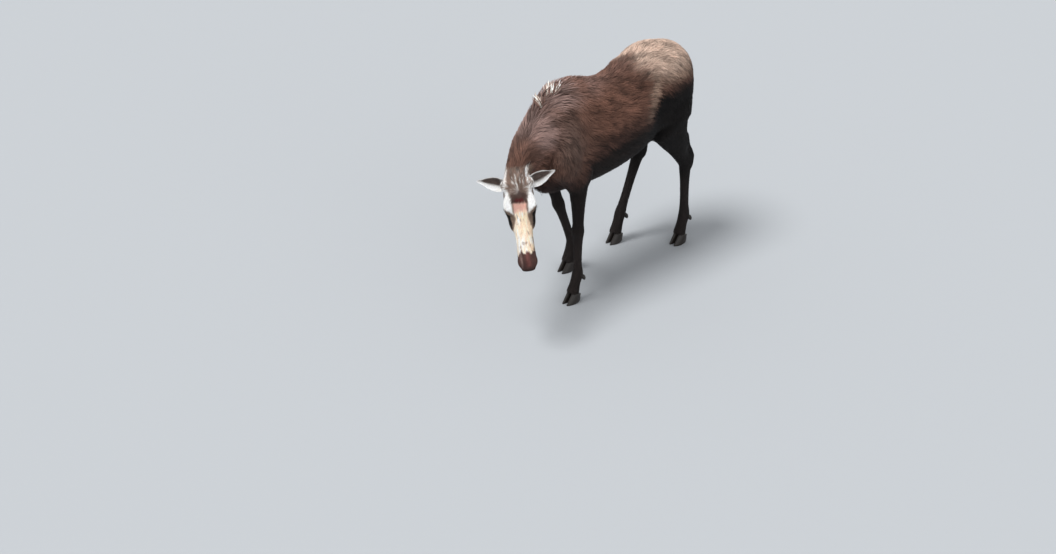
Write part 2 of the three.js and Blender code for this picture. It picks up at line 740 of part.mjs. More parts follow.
// The dewclaws hang behind the fetlock, each a blunt cone that points down and back.
const DEWCLAW_PROFILE = [[0, 0], [9, 3], [17, 22], [16, 46], [0, 66]]; // radius, and distance from the tip
const DEWCLAW_TIP = [24, 56, -64]; // from the fetlock
const DEWCLAW_LEAN = 28; // degrees
function dewclaw(leg, side) {
  const [x, y, z] = add(leg.joints[2], mirror(DEWCLAW_TIP, side));
  const profile = DEWCLAW_PROFILE.map(([radius, height]) => new THREE.Vector2(radius, height));
  const cone = new THREE.LatheGeometry(profile, 6).rotateX(Math.PI / 2 + radians(DEWCLAW_LEAN));
  return solidOf(cone.translate(x, y, z));
}

function footSolids(name, leg) {
  const { point, normal } = coronet(leg);
  const joint = add(leg.joints[1], [0, 0, leg.pair === "fore" ? 62 : 66]);
  const [top] = leg.joints;
  const low = [top[0] - 220, top[1] - 320, joint[2] - 90];
  const high = [top[0] + 220, top[1] + 400, LEG_BOXES[leg.pair][1].high[2] + 70];
  const [upper] = part(netSolid(bodyField, low, high, UPPER_LEG_CELL), joint, JOINT_CUT[leg.pair]);
  const mass = legSweep(leg);
  const places = evenly(12, mass.frames.length - 1, 12);
  const thin = raySolid(mass, bodyField, places, LEG_SIDES);
  const [, underJoint] = part(thin, joint, JOINT_CUT[leg.pair]);
  const [lower] = part(underJoint, point, normal);
  const upperName = leg.pair === "fore" ? "forearm" : "gaskin";
  const made = [
    [`${name}_${upperName}`, upper.intersect(legBox(leg, 0)), "coat"],
    [`${name}_cannon`, lower, "leg_coat"],
  ];
  const outwards = Math.sign(leg.joints[0][0]);
  for (const [word, side] of [["outer", outwards], ["inner", -outwards]]) {
    const [, below] = part(claw(leg, side), point, normal);
    made.push([`${name}_hoof_${word}`, below, "horn"]);
    made.push([`${name}_dewclaw_${word}`, apart(dewclaw(leg, side), lower), "horn"]);
  }
  return made;
}

// ---------------------------------------------------------------- finishes
const finish = (color, roughness) => new THREE.MeshStandardMaterial({ color, roughness, metalness: 0 });
const FINISHES = {
  coat: finish(0x4a3428, 0.9), // brown coat
  leg_coat: finish(0x241a17, 0.85), // near-black coat of the lower legs
  face_coat: finish(0x9a7f66, 0.85), // pale face
  ear_coat: finish(0xb9ab9b, 0.85), // pale ears
  horn: finish(0x1f1b19, 0.55), // hooves and dewclaws
  eye: finish(0x120b08, 0.12), // wet dark eye
};

// ---------------------------------------------------------------- the group
const solids = [
  ["trunk", trunk, "coat"],
  ["neck", neck, "coat"],
  ["head", head, "face_coat"],
  ["eye_left", eyeBall(LEFT, EYE_RADIUS), "eye"],
  ["eye_right", eyeBall(RIGHT, EYE_RADIUS), "eye"],
  ["ear_left", apart(earSolid(LEFT), head, neck, trunk), "ear_coat"],
  ["ear_right", apart(earSolid(RIGHT), head, neck, trunk), "ear_coat"],
  ["tail", apart(ownSolid(tailSweep, 8), trunk), "coat"],
  ["bell", apart(ownSolid(bellSweep, 6), head, neck), "coat"],
  ...Object.entries(LEGS).flatMap(([name, leg]) => footSolids(name, leg)),
];

const body = new THREE.Group();
for (const [name, solid, slot] of solids) body.add(meshOf(name, solid, FINISHES[slot]));

// The origin is under the middle of the outline.
const outline = new THREE.Box3().setFromObject(body);
const middle = outline.getCenter(new THREE.Vector3());
body.position.set(-middle.x, -middle.y, -outline.min.z);
const moose = new THREE.Group();
moose.add(body);

export default moose;
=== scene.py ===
from math import cos, pi, radians, sin, tan

import bpy
import numpy as np
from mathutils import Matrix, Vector
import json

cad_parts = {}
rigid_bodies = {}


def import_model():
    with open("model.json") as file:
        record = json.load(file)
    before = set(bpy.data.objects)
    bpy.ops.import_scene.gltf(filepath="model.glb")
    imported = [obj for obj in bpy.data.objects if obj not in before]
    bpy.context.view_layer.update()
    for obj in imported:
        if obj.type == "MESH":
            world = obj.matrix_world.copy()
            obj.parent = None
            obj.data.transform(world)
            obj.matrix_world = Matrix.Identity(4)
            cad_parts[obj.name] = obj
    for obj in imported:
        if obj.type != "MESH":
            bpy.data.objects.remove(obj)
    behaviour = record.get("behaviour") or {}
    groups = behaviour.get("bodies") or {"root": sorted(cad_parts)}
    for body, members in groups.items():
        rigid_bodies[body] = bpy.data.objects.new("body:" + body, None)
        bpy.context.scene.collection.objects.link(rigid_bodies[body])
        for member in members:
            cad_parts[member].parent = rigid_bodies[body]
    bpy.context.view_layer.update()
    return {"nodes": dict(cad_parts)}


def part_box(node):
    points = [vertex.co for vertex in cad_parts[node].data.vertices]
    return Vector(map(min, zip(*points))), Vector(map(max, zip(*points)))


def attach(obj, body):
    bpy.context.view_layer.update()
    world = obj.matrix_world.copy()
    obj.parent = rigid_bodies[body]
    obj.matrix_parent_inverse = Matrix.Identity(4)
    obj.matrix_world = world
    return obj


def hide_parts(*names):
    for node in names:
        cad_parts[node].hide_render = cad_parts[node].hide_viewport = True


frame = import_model()

# %% [markdown]
# ## Where the head is, and how the body lines up with the solids
# An animal is easiest to measure along its own parts: so far down the face, so far to the side. We measure
# the body in millimetres from a point on the floor under its middle, with -Y ahead and +X to its left, and
# we give the head three directions of its own. The solids may stand somewhere else, so the eye's box tells
# us how far to shift what we measured.
# %% Directions of the head, and the shift to the solids
MM = 0.001
HEAD_TURN = radians(57.5)  # to her left, from the line of the body
HEAD_DROP = radians(55)  # below level
HEAD_ROLL = radians(12)  # round the line of the face
POLL = np.array([106.0, -1012.0, 1247.0])  # where the line of the head begins, between the ears
EYE_PLACE = (272, 104, 38)  # down the face, to the side, and out of the forehead
UP = np.array([0.0, 0.0, 1.0])
AHEAD = np.array([0.0, -1.0, 0.0])


def unit(vectors):
    vectors = np.asarray(vectors, float)
    return vectors / np.maximum(np.linalg.norm(vectors, axis=-1, keepdims=True), 1e-9)


ALONG = np.array([sin(HEAD_TURN) * cos(HEAD_DROP), -cos(HEAD_TURN) * cos(HEAD_DROP), -sin(HEAD_DROP)])
LEVEL_LEFT = unit(np.cross(UP, ALONG))
FACE_LEFT = cos(HEAD_ROLL) * LEVEL_LEFT + sin(HEAD_ROLL) * np.cross(ALONG, LEVEL_LEFT)
FACE_UP = np.cross(ALONG, FACE_LEFT)
HEAD_AXES = np.stack([ALONG, FACE_LEFT, FACE_UP])


def head_point(along, left, up):
    return POLL + np.array([along, left, up], float) @ HEAD_AXES


def in_head(points):
    """Body points, told as distances down the face, to her left and out of the forehead."""
    return (points - POLL) @ HEAD_AXES.T


eye_node = np.mean(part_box("eye_left"), axis=0)
SHIFT = eye_node - head_point(*EYE_PLACE) * MM


def to_model(points):
    return np.asarray(points) * MM + SHIFT


print("shift from the body's own origin, in metres:", np.round(SHIFT, 4))

# %% [markdown]
# ## The camera
# A long lens from far away keeps the legs from looking splayed. The camera stands ahead of her left
# shoulder and well above her, so that we look down along the back, and she stands right of the middle of
# the frame.
# %% Camera
CAMERA_TURN = radians(43)  # round from straight ahead of her, towards her left
CAMERA_HEIGHT = radians(30)
CAMERA_DISTANCE = 45.0
RIGHT_OF_MIDDLE = 0.533  # metres, where the point on the floor under her body shows
ABOVE_MIDDLE = 0.081
LENS = 207.1

out_to_camera = np.array(
    [sin(CAMERA_TURN) * cos(CAMERA_HEIGHT), -cos(CAMERA_TURN) * cos(CAMERA_HEIGHT), sin(CAMERA_HEIGHT)]
)
picture_right = unit(np.cross(-out_to_camera, UP))
picture_up = np.cross(picture_right, -out_to_camera)
camera = bpy.data.objects.new("camera", bpy.data.cameras.new("camera"))
camera.data.lens = LENS
camera.data.sensor_width = 36
camera.data.clip_end = 300
camera.location = Vector(SHIFT + out_to_camera * CAMERA_DISTANCE)
aim = Vector(SHIFT - picture_right * RIGHT_OF_MIDDLE - picture_up * ABOVE_MIDDLE)
camera.rotation_euler = (aim - camera.location).to_track_quat("-Z", "Y").to_euler()
bpy.context.scene.collection.objects.link(camera)
bpy.context.scene.camera = camera
print("camera at", np.round(camera.location, 2))

# %% [markdown]
# ## Floor and light
# A pale floor with a broad, soft light from high up shows the coat without hard shadows. A weaker light
# from the camera's side opens up the dark belly, and a plain bright world fills in the rest.
# %% Floor, lights and world
FLOOR_SIZE = 160.0


def plain_material(name, color, roughness):
    material = bpy.data.materials.new(name)
    material.use_nodes = True
    shader = material.node_tree.nodes["Principled BSDF"]
    shader.inputs["Base Color"].default_value = (*color, 1)
    shader.inputs["Roughness"].default_value = roughness
    return material


def sun(name, towards, strength, spread):
    light = bpy.data.lights.new(name, "SUN")
    light.energy = strength
    light.angle = radians(spread)
    lamp = bpy.data.objects.new(name, light)
    lamp.rotation_euler = Vector(towards).to_track_quat("Z", "Y").to_euler()
    bpy.context.scene.collection.objects.link(lamp)


bpy.ops.mesh.primitive_plane_add(size=FLOOR_SIZE)
floor = bpy.context.object
floor.name = "floor"
floor.data.materials.append(plain_material("floor", (0.44, 0.46, 0.48), 0.8))
sun("key", -picture_right * 0.4 + UP * 1.0 + out_to_camera * 0.2, 2.6, 24)
sun("fill", out_to_camera + picture_right * 0.4, 0.5, 60)
world = bpy.data.worlds.new("world")
world.use_nodes = True
world.node_tree.nodes["Background"].inputs["Color"].default_value = (0.95, 0.97, 1.0, 1)
world.node_tree.nodes["Background"].inputs["Strength"].default_value = 0.55
bpy.context.scene.world = world
bpy.context.scene.view_settings.view_transform = "Standard"

# %% [markdown]
# ## A body as a field
# The skin of an animal is one smooth surface over many masses. Sculptors build it up in clay, and we can
# do the same with numbers: each mass says how far outside it a point is, and masses that lie close melt
# into each other. Where the answer is zero is the outside of the coat. Every mass also carries the way its
# hair lies, which is along its own line, and how deep its coat is, so that those melt together as the
# shapes do.
# %% Masses: swept sections and lumps
def station(at, up, side, top, bottom, ridge=2.0, keel=2.0, coat=20.0):
    """A section: its middle, the way up, half sizes, the powers of its rounding, and the coat's depth."""
    return np.array([*at, *up, side, top, bottom, ridge, keel, coat], float)


def catmull_rom(a, b, c, d, t):
    start, end, lift = (c - a) / 2, (d - b) / 2, c - b
    return b + t * (start + t * (3 * lift - 2 * start - end + t * (start + end - 2 * lift)))


def sweep(stations, caps, steps=4):
    """A mass through its sections, with rounded ends that reach out by the two caps."""
    rows = np.array(stations)
    padded = np.vstack([rows[:1], rows, rows[-1:]])
    spans = range(len(rows) - 1)
    samples = [catmull_rom(*padded[i : i + 4], k / steps) for i in spans for k in range(steps)]
    samples = np.array([*samples, rows[-1]])
    at = samples[:, :3]
    forward = unit(np.vstack([at[1:], at[-1:]]) - np.vstack([at[:1], at[:-1]]))
    side = unit(np.cross(samples[:, 3:6], forward))
    reach = samples[:, 6:9].max()
    steps_mm = np.linalg.norm(np.diff(at, axis=0), axis=1)
    return {
        "at": at,
        "forward": forward,
        "side": side,
        "up": np.cross(forward, side),
        "sizes": samples[:, 6:],
        "length": np.concatenate([[0], np.cumsum(steps_mm)])[:, None],
        "caps": caps,
        "box": (at.min(axis=0) - reach, at.max(axis=0) + reach),
    }


def lump(at, forward, up, size, coat=20.0):
    """A rounded lump is a very short sweep."""
    length, side, height = size
    ends = [np.asarray(at) + np.asarray(forward) * length * k for k in (-0.04, 0.04)]
    return sweep([station(end, up, side, height, height, coat=coat) for end in ends], (length, length), 1)


# %% How far a point is from a mass, and from a whole field of them
FAR = 1e4  # mm, farther than anything on the body
MARGIN = 60  # mm, how far round its own box a mass is still looked at


def nearest(mass, points):
    """The closest place on a mass's middle line, counted in samples, and how far a point is past an end."""
    at = mass["at"]
    first = np.argmin((at**2).sum(axis=1) - 2 * points @ at.T, axis=1)
    best = None
    for start in (first - 1, first):
        i = np.clip(start, 0, len(at) - 2)
        run = at[i + 1] - at[i]
        whole = (run**2).sum(axis=1)
        raw = ((points - at[i]) * run).sum(axis=1) / whole
        share = np.clip(raw, 0, 1)
        gap = ((points - at[i] - share[:, None] * run) ** 2).sum(axis=1)
        before = (raw < 0) & (i == 0)
        after = (raw > 1) & (i == len(at) - 2)
        past = np.where(before, raw, np.where(after, raw - 1, 0)) * np.sqrt(whole)
        found = np.stack([gap, i + share, past])
        best = found if best is None else np.where(gap < best[0], found, best)
    return best[1], best[2]


def local(mass, points):
    """A point told in a mass's own terms: offset to the side and up, plus the mixed section there."""
    place, over = nearest(mass, points)
    i = np.minimum(place.astype(int), len(mass["at"]) - 2)
    t = (place - i)[:, None]
    keys = ("at", "side", "up", "forward", "sizes", "length")
    mixed = {key: mass[key][i] * (1 - t) + mass[key][i + 1] * t for key in keys}
    off = points - mixed["at"]
    across = (off * mixed["side"]).sum(axis=1)
    height = (off * mixed["up"]).sum(axis=1)
    return across, height, over, mixed


# %% The distance and the hair of one mass, and of a whole field
def distance(mass, points):
    """How far points are outside a mass, the lie of its coat there, and the coat's depth."""
    across, height, over, mixed = local(mass, points)
    side, top, bottom, ridge, keel, coat = mixed["sizes"].T
    power = np.where(height > 0, ridge, keel)
    tall = np.where(height > 0, top, bottom)
    section = (np.abs(across / side) ** power + np.abs(height / tall) ** power) ** (1 / power)
    cap = np.where(over < 0, mass["caps"][0], mass["caps"][1])
    q = np.hypot(section, over / cap)
    r = np.sqrt(across**2 + height**2 + over**2)
    away = np.where(q < 1e-6, -np.minimum(side, tall), r - r / np.maximum(q, 1e-6))
    return away, np.column_stack([mixed["forward"], coat])


def field_at(field, points):
    """The distance outside the coat, the lie of the hair (three numbers) and the depth of the coat."""
    value = np.full(len(points), FAR)
    hair = np.zeros((len(points), 4))
    for mass, blend in field:
        low, high = mass["box"]
        reach = blend + MARGIN
        near = np.flatnonzero(((points > low - reach) & (points < high + reach)).all(axis=1))
        own, own_hair = distance(mass, points[near])
        old = value[near]
        h = np.maximum(blend - np.abs(old - own), 0) / blend
        share = np.where(own < old, 1 - h / 2, h / 2)[:, None]
        value[near] = np.minimum(old, own) - h * h * blend / 4
        hair[near] += (own_hair - hair[near]) * share
    return value, hair


def in_batches(function, points, size=40000):
    parts = [function(points[i : i + size]) for i in range(0, max(len(points), 1), size)]
    return [np.concatenate(column) for column in zip(*parts)]


# %% [markdown]
# ## The long line from the nose to the rump
# Head, neck and trunk are one long sweep. The face is narrow and deep, the neck is deeper than it is wide,
# the shoulders carry a hump over tall back bones, and the back dips behind it. The hair lies from the nose
# over the forehead and down to the rump, which is the way the sweep runs, and it is deepest on the hump.
# %% Head, neck and trunk
HEAD_SECTIONS = [  # down the face; half sizes to the side, up and down; two powers; coat
    [706, 48, 18, 62, 2.2, 2.2, 2.0],
    [684, 60, 44, 80, 2.3, 2.3, 2.2],
    [640, 67, 68, 94, 2.3, 2.3, 2.5],
    [580, 66, 74, 98, 2.3, 2.2, 3.0],
    [500, 64, 64, 98, 2.3, 2.0, 3.5],
    [412, 70, 59, 108, 2.3, 2.0, 4.0],
    [330, 82, 68, 128, 2.3, 1.9, 4.5],
    [255, 98, 84, 150, 2.4, 1.9, 5.0],
    [160, 102, 94, 164, 2.3, 1.9, 7.0],
    [70, 98, 92, 142, 2.1, 2.0, 11.0],
]
NECK_SECTIONS = [  # the middle; half sizes to the side, up and down; two powers; coat
    [80, -936, 1280, 104, 112, 146, 2, 2, 20],
    [30, -800, 1325, 138, 190, 226, 1.9, 2, 26],
    [8, -672, 1335, 172, 290, 330, 1.8, 2, 28],
]
TRUNK_SECTIONS = [  # back; height of the middle, the back and the belly; half width; two powers; coat
    [-545, 1318, 1700, 890, 216, 1.7, 2.0, 28],
    [-430, 1296, 1722, 848, 236, 1.7, 2.0, 26],
    [-280, 1265, 1690, 828, 254, 1.7, 2.1, 24],
    [-100, 1248, 1630, 826, 282, 1.7, 2.1, 22],
    [80, 1250, 1604, 846, 294, 1.6, 2.1, 22],
    [240, 1275, 1634, 885, 282, 1.6, 2.1, 22],
    [380, 1310, 1680, 950, 260, 1.65, 2.1, 22],
    [520, 1340, 1698, 1035, 246, 1.8, 2.1, 21],
    [680, 1355, 1642, 1090, 216, 1.9, 2.0, 19],
    [800, 1340, 1538, 1150, 168, 2.0, 2.0, 16],
]
head_stations = [station(head_point(along, 0, 0), FACE_UP, *sizes) for along, *sizes in HEAD_SECTIONS]
neck_stations = [
    station((x, y, z), FACE_UP + (UP - FACE_UP) * (i + 1) / 4, *sizes)
    for i, (x, y, z, *sizes) in enumerate(NECK_SECTIONS)
]
trunk_stations = [
    station((0, y, z), UP, side, top - z, z - bottom, *rest)
    for y, z, top, bottom, side, *rest in TRUNK_SECTIONS
]
spine = sweep([*head_stations, *neck_stations, *trunk_stations], (14, 55))
print("nose to rump along the middle, in mm:", round(float(spine["length"][-1, 0])))

# %% [markdown]
# ## Muscle, bone and mane
# On the long line sit the shoulder blade and upper arm, the haunch, the points of the hip and the elbow,
# the brisket and the udder, and on the head the brows, the jaw muscle and the flared nostrils. The crest
# is a mane of long hair over the withers, so its coat is deep.
# %% Masses of the head and the body
def head_lump(place, size, tilt=0.0, coat=5.0):
    return lump(head_point(*place), unit(ALONG + FACE_UP * tilt), FACE_UP, size, coat)


def head_masses(side):
    return [
        (head_lump((236, side * 82, 52), (66, 38, 34)), 30),  # brow over the eye
        (head_lump((322, side * 72, 6), (90, 26, 24), 0.12, 4.0), 34),  # crest below the eye
        (head_lump((170, side * 70, -70), (92, 36, 78), coat=7.0), 40),  # jaw muscle
        (head_lump((90, side * 84, 32), (42, 40, 38), coat=10.0), 34),  # root of the ear
        (head_lump((648, side * 42, 24), (40, 27, 30), -0.2, 2.2), 18),  # flare of the nostril
    ]


def body_masses(side):
    def at(x, y, z):
        return (side * x, y, z)

    blade = [
        station(at(98, -385, 1540), AHEAD, 46, 62, 62, coat=30),
        station(at(148, -470, 1370), AHEAD, 72, 118, 118, coat=24),
        station(at(180, -590, 1170), AHEAD, 76, 112, 112, coat=20),
    ]
    upper_arm = [
        station(at(178, -600, 1150), AHEAD, 76, 96, 96, coat=20),
        station(at(186, -450, 1005), AHEAD, 70, 92, 92, coat=15),
    ]
    haunch = [
        station(at(118, 560, 1530), AHEAD, 92, 170, 180, coat=20),
        station(at(158, 550, 1330), AHEAD, 106, 190, 236, coat=18),
        station(at(182, 520, 1130), AHEAD, 92, 180, 236, coat=14),
    ]
    return [
        (sweep(blade, (60, 60)), 60),
        (sweep(upper_arm, (60, 50)), 90),
        (sweep(haunch, (70, 60)), 90),
        (lump(at(160, 330, 1508), -AHEAD, UP, (70, 40, 38)), 60),  # point of the hip
        (lump(at(194, -360, 1000), -UP, AHEAD, (60, 34, 40), 12), 40),  # point of the elbow
    ]


crest = sweep(
    [
        station((8, -770, 1488), UP, 58, 62, 90, coat=34),
        station((2, -650, 1606), UP, 74, 98, 100, coat=44),
        station((0, -500, 1644), UP, 78, 108, 110, coat=46),
        station((0, -320, 1610), UP, 70, 84, 100, coat=34),
    ],
    (70, 90),
)
axial_field = [
    (spine, 1),
    (crest, 60),
    (lump((0, -610, 1010), -AHEAD, UP, (120, 92, 110), 24), 100),  # brisket
    (lump((0, 500, 1010), -AHEAD, UP, (120, 88, 70), 8), 80),  # udder
    *body_masses(1),
    *body_masses(-1),
    (head_lump((604, 0, -86), (50, 42, 36), coat=3.0), 20),  # chin, set back under the lip
    (head_lump((30, 0, 52), (60, 58, 50), coat=12.0), 30),  # crown
    *head_masses(1),
    *head_masses(-1),
]

# %% [markdown]
# ## The legs
# A moose wades and steps over deep snow, so her legs are very long and end in a thin cannon bone. Each leg
# is a sweep through its joints, down to where the hoof begins, and the hind legs add the ham and the
# heel's cord.
# %% Legs
LEG_JOINTS = {  # from the top to the coronet: elbow or stifle, knee or hock, fetlock, coronet
    "foreleg_left": [(188, -438, 1010), (203, -456, 570), (201, -460, 212), (200, -506, 78)],
    "foreleg_right": [(-188, -415, 1010), (-170, -270, 580), (-150, -150, 218), (-148, -192, 78)],
    "hindleg_left": [(196, 470, 1050), (176, 725, 662), (170, 726, 218), (170, 680, 78)],
    "hindleg_right": [(-196, 410, 1050), (-186, 610, 665), (-184, 412, 222), (-184, 362, 78)],
}
LEG_SECTIONS = {  # the bone, the share of it, half sizes to the side, ahead and behind, and the coat
    "fore": [
        [0, 0.0, 64, 84, 84, 13],
        [0, 0.3, 56, 68, 70, 9],
        [0, 0.62, 44, 50, 52, 6],
        [0, 0.86, 40, 42, 44, 5],
        [1, 0.0, 46, 50, 46, 4],
        [1, 0.2, 37, 37, 37, 4],
        [1, 0.5, 29, 31, 36, 4],
        [1, 0.8, 29, 32, 37, 4],
        [2, 0.0, 38, 41, 47, 4.5],
        [2, 0.5, 38, 38, 42, 5],
        [2, 1.0, 47, 47, 49, 6],
    ],
    "hind": [
        [0, 0.0, 84, 110, 135, 12],
        [0, 0.3, 70, 92, 110, 9],
        [0, 0.6, 54, 66, 74, 6],
        [0, 0.85, 43, 54, 56, 5],
        [1, 0.0, 44, 54, 58, 4],
        [1, 0.14, 38, 44, 48, 4],
        [1, 0.45, 31, 34, 39, 4],
        [1, 0.8, 30, 34, 39, 4],
        [2, 0.0, 38, 42, 48, 4.5],
        [2, 0.5, 38, 39, 43, 5],
        [2, 1.0, 46, 46, 48, 6],
    ],
}
LEG_POWER = 2.2  # a leg is a little squarer than round
CORONET_HEIGHT = 76
CORONET_SLOPE = radians(20)
CORONET_OUT = np.array([0, sin(CORONET_SLOPE), cos(CORONET_SLOPE)])


def leg_pair(name):
    return "fore" if name.startswith("fore") else "hind"


def leg_sweep(name):
    joints = np.array(LEG_JOINTS[name], float)
    stations = []
    for bone, share, side, front, back, coat in LEG_SECTIONS[leg_pair(name)]:
        middle = joints[bone] + (joints[bone + 1] - joints[bone]) * share
        stations.append(station(middle, AHEAD, side, front, back, LEG_POWER, LEG_POWER, coat))
    return sweep(stations, (50, 60), 3)


# %% The heel's cord and the ham
def heel(name):
    """The heel bone behind the hock, and the cord that runs up from it to the thigh."""
    stifle, hock = np.array(LEG_JOINTS[name][:2], float)
    point = hock + (0, 62, 36)
    cord = (hock + stifle) / 2 + (0, 106, 40)
    sections = [
        station(point + (0, -26, -62), AHEAD, 26, 26, 28, coat=4),
        station(point, AHEAD, 27, 36, 28, coat=4),
        station((point + cord) / 2, AHEAD, 23, 48, 24, coat=5),
        station(cord, AHEAD, 30, 70, 34, coat=7),
    ]
    mass = sweep(sections, (24, 30), 2)
    mass["forward"] = -mass["forward"]  # the hair still lies down the leg
    return mass


def ham(name):
    stifle, hock = np.array(LEG_JOINTS[name][:2], float)
    sections = [
        station(stifle + (0, 110, 130), AHEAD, 74, 120, 130, coat=13),
        station(stifle + (hock - stifle) * 0.25 + (0, 84, 20), AHEAD, 56, 92, 96, coat=10),
        station(stifle + (hock - stifle) * 0.55 + (0, 62, 10), AHEAD, 36, 58, 60, coat=7),
    ]
    return sweep(sections, (60, 40), 3)


leg_sweeps = {name: leg_sweep(name) for name in LEG_JOINTS}
leg_field = []
for name, mass in leg_sweeps.items():
    if leg_pair(name) == "fore":
        leg_field.append((mass, 70))
    else:
        leg_field += [(mass, 80), (ham(name), 60), (heel(name), 40)]

# %% [markdown]
# ## Tail and bell
# The tail is a short flap over the rump, and the bell is a tuft of skin and hair that hangs from the
# throat. Both are small sweeps that melt into the body.
# %% Tail and bell
tail = sweep(
    [
        station((0, 796, 1482), (0, 1, 0.4), 38, 26, 26, coat=8),
        station((0, 850, 1436), (0, 1, 0.4), 34, 19, 22, coat=9),
        station((0, 872, 1382), (0, 1, 0.2), 26, 14, 17, coat=8),
        station((0, 876, 1342), (0, 1, 0), 14, 9, 10, coat=5),
    ],
    (20, 16),
)
bell_root = head_point(96, 0, -118)
bell = sweep(
    [
        station(bell_root, FACE_LEFT, 26, 46, 46, coat=12),
        station(bell_root + (-4, -4, -70), FACE_LEFT, 22, 34, 34, coat=10),
        station(bell_root + (-2, -2, -130), FACE_LEFT, 14, 20, 20, coat=7),
        station(bell_root + (0, 0, -172), FACE_LEFT, 7, 9, 9, coat=3),
    ],
    (10, 12),
)
body_field = [*axial_field, *leg_field, (tail, 12), (bell, 12)]
print("masses in the body:", len(body_field))

# %% [markdown]
# ## Folds of the skin
# Under the coat the skin has its own small forms: the hollow that the eye sits in, the tear pit in front
# of it, the hollows of the cheek, the nostrils and the line of the mouth. Each is a soft dent or bump in
# the field, given in the head's own directions, and the long ones follow a path. At the coronets the skin
# is cut off flat, where the hooves begin.
# %% Dents and bumps of the head, and the skin's own field
FOLDS = [  # down the face, to the side, out of the forehead; reach of each; depth, where less than 0 bulges
    [(270, 108, 42), (24, 32, 15), 4.0],  # socket of the eye
    [(280, 102, 13), (32, 26, 14), -11.0],  # pouch under the eye
    [(252, 112, 68), (40, 22, 11), -3.5],  # brow's edge over the eye
    [(312, 96, 18), (20, 12, 7), 6.0],  # tear pit
    [(372, 66, -22), (60, 20, 22), 4.5],  # hollow of the cheek
    [(210, 100, -20), (60, 18, 14), -3.0],  # cheek bone
    [(470, 66, 24), (90, 18, 10), 2.5],  # hollow beside the nose bridge
    [(664, 60, 30), (28, 20, 9), -3.5],  # wing over the nostril
    [(700, 0, 10), (16, 7, 26), 3.0],  # groove down the middle of the lip
    [(668, 0, -84), (12, 60, 14), 9.0],  # step from the lip back to the chin
]
# Paths down the side of the face: along, up, radius and depth of each place on the way
NOSTRIL = [(694, -20, 8, 12), (680, -6, 11, 18), (660, 8, 10, 15), (640, 10, 7, 9), (626, 4, 5, 4)]
MOUTH = [(694, -66, 5, 7), (650, -64, 5, 9), (596, -52, 5, 9), (556, -40, 6, 9)]
CORONET_REACH = 110
FACE_REACH = 190  # mm, how far from the line of the head the face goes


def step(value, start, end):
    t = np.clip((value - start) / (end - start), 0, 1)
    return t * t * (3 - 2 * t)


def groove(along, up, path):
    """The depth of a fold that follows a path down the side of the face."""
    depth = np.zeros(len(along))
    for start, end in zip(np.array(path[:-1], float), np.array(path[1:], float)):
        run = (end - start)[:2]
        share = np.clip(((along - start[0]) * run[0] + (up - start[1]) * run[1]) / (run @ run), 0, 1)
        _, _, radius, deep = (start + share[:, None] * (end - start)).T
        gap = np.hypot(along - start[0] - share * run[0], up - start[1] - share * run[1])
        depth = np.maximum(depth, deep * np.exp(-((gap / radius) ** 2)))
    return depth


# %% How deep the folds are, and the skin under the coat
def openings(place):
    """How deep the nostrils and the mouth are at places on the head."""
    nostril = groove(place[:, 0], place[:, 2], NOSTRIL) * step(np.abs(place[:, 1]), 22, 36)
    return np.maximum(nostril, groove(place[:, 0], place[:, 2], MOUTH))


def fold_depth(points):
    """How deep the folds press the skin in. Bulges count as less than nothing."""
    place = in_head(points)
    depth = np.zeros(len(points))
    face = np.flatnonzero((place[:, 0] > 120) & (np.abs(place[:, 1:]).max(axis=1) < FACE_REACH))
    for (along, left, up), reach, deep in FOLDS:
        for side in (1, -1) if left else (1,):
            off = (place[face] - (along, side * left, up)) / reach
            depth[face] += deep * np.exp(-(off**2).sum(axis=1))
    depth[face] += openings(place[face])
    return depth


def skin_at(points):
    """Distance outside the skin, with the lie and the depth of the coat over it."""
    value, hair = field_at(body_field, points)
    value = value + hair[:, 3] + fold_depth(points)
    for joints in LEG_JOINTS.values():
        x, y, _ = joints[3]
        off = points - (x, y, CORONET_HEIGHT)
        foot = np.flatnonzero((np.abs(off) < CORONET_REACH).all(axis=1) | (points[:, 2] < 60))
        value[foot] = np.maximum(value[foot], -off[foot] @ CORONET_OUT)
    return value, hair


def height_at(points):
    """Only the distance outside the skin, for many points."""
    return in_batches(lambda some: skin_at(some)[:1], points)[0]


# %% [markdown]
# ## A net drawn over the field
# To turn the field into a mesh we lay a grid of points over it, put one corner in each cell that the skin
# passes through, and pull it onto the skin. A face needs far smaller cells than a flank, so the grid is
# drawn together round the head, as if seen through a lens: one mesh, with no seam, fine where it matters.
# %% A grid that is finer round the head
CELL = 18.0  # mm, between grid points before they are drawn together
FINE = 0.235  # how much smaller a cell is at the head
COARSE = 1.15
HEAD_REACH = 390.0  # mm, how far from the middle of the head the cells stay fine
SOFTNESS = 120.0
STRIDE = 4  # the first look at the field goes this many grid points at a time
NUDGE = 0.8  # mm, to find the slope of the field
LONGEST_MOVE = 8.0  # mm, of a corner that is pulled onto the skin
OUTSIDE = 1e3  # for grid points far from the animal
BODY_LOW = (-400, -1300, 40)  # the box that the whole skin lies in
BODY_HIGH = (460, 990, 1800)
GRID_MARGIN = 90  # mm, how far round the body the field is looked at
head_middle = head_point(330, 0, -20)


def drawn_in(radius):
    start = HEAD_REACH / FINE
    return FINE * radius + (COARSE - FINE) * SOFTNESS * np.logaddexp(0, (radius - start) / SOFTNESS)


def grid_to_body(grid):
    radius = np.maximum(np.linalg.norm(grid, axis=1, keepdims=True), 1e-6)
    return head_middle + grid * drawn_in(radius) / radius


def body_to_grid(points):
    off = points - head_middle
    real = np.maximum(np.linalg.norm(off, axis=1, keepdims=True), 1e-6)
    radii = np.linspace(0, 6000, 4000)
    return off * np.interp(real, drawn_in(radii), radii) / real


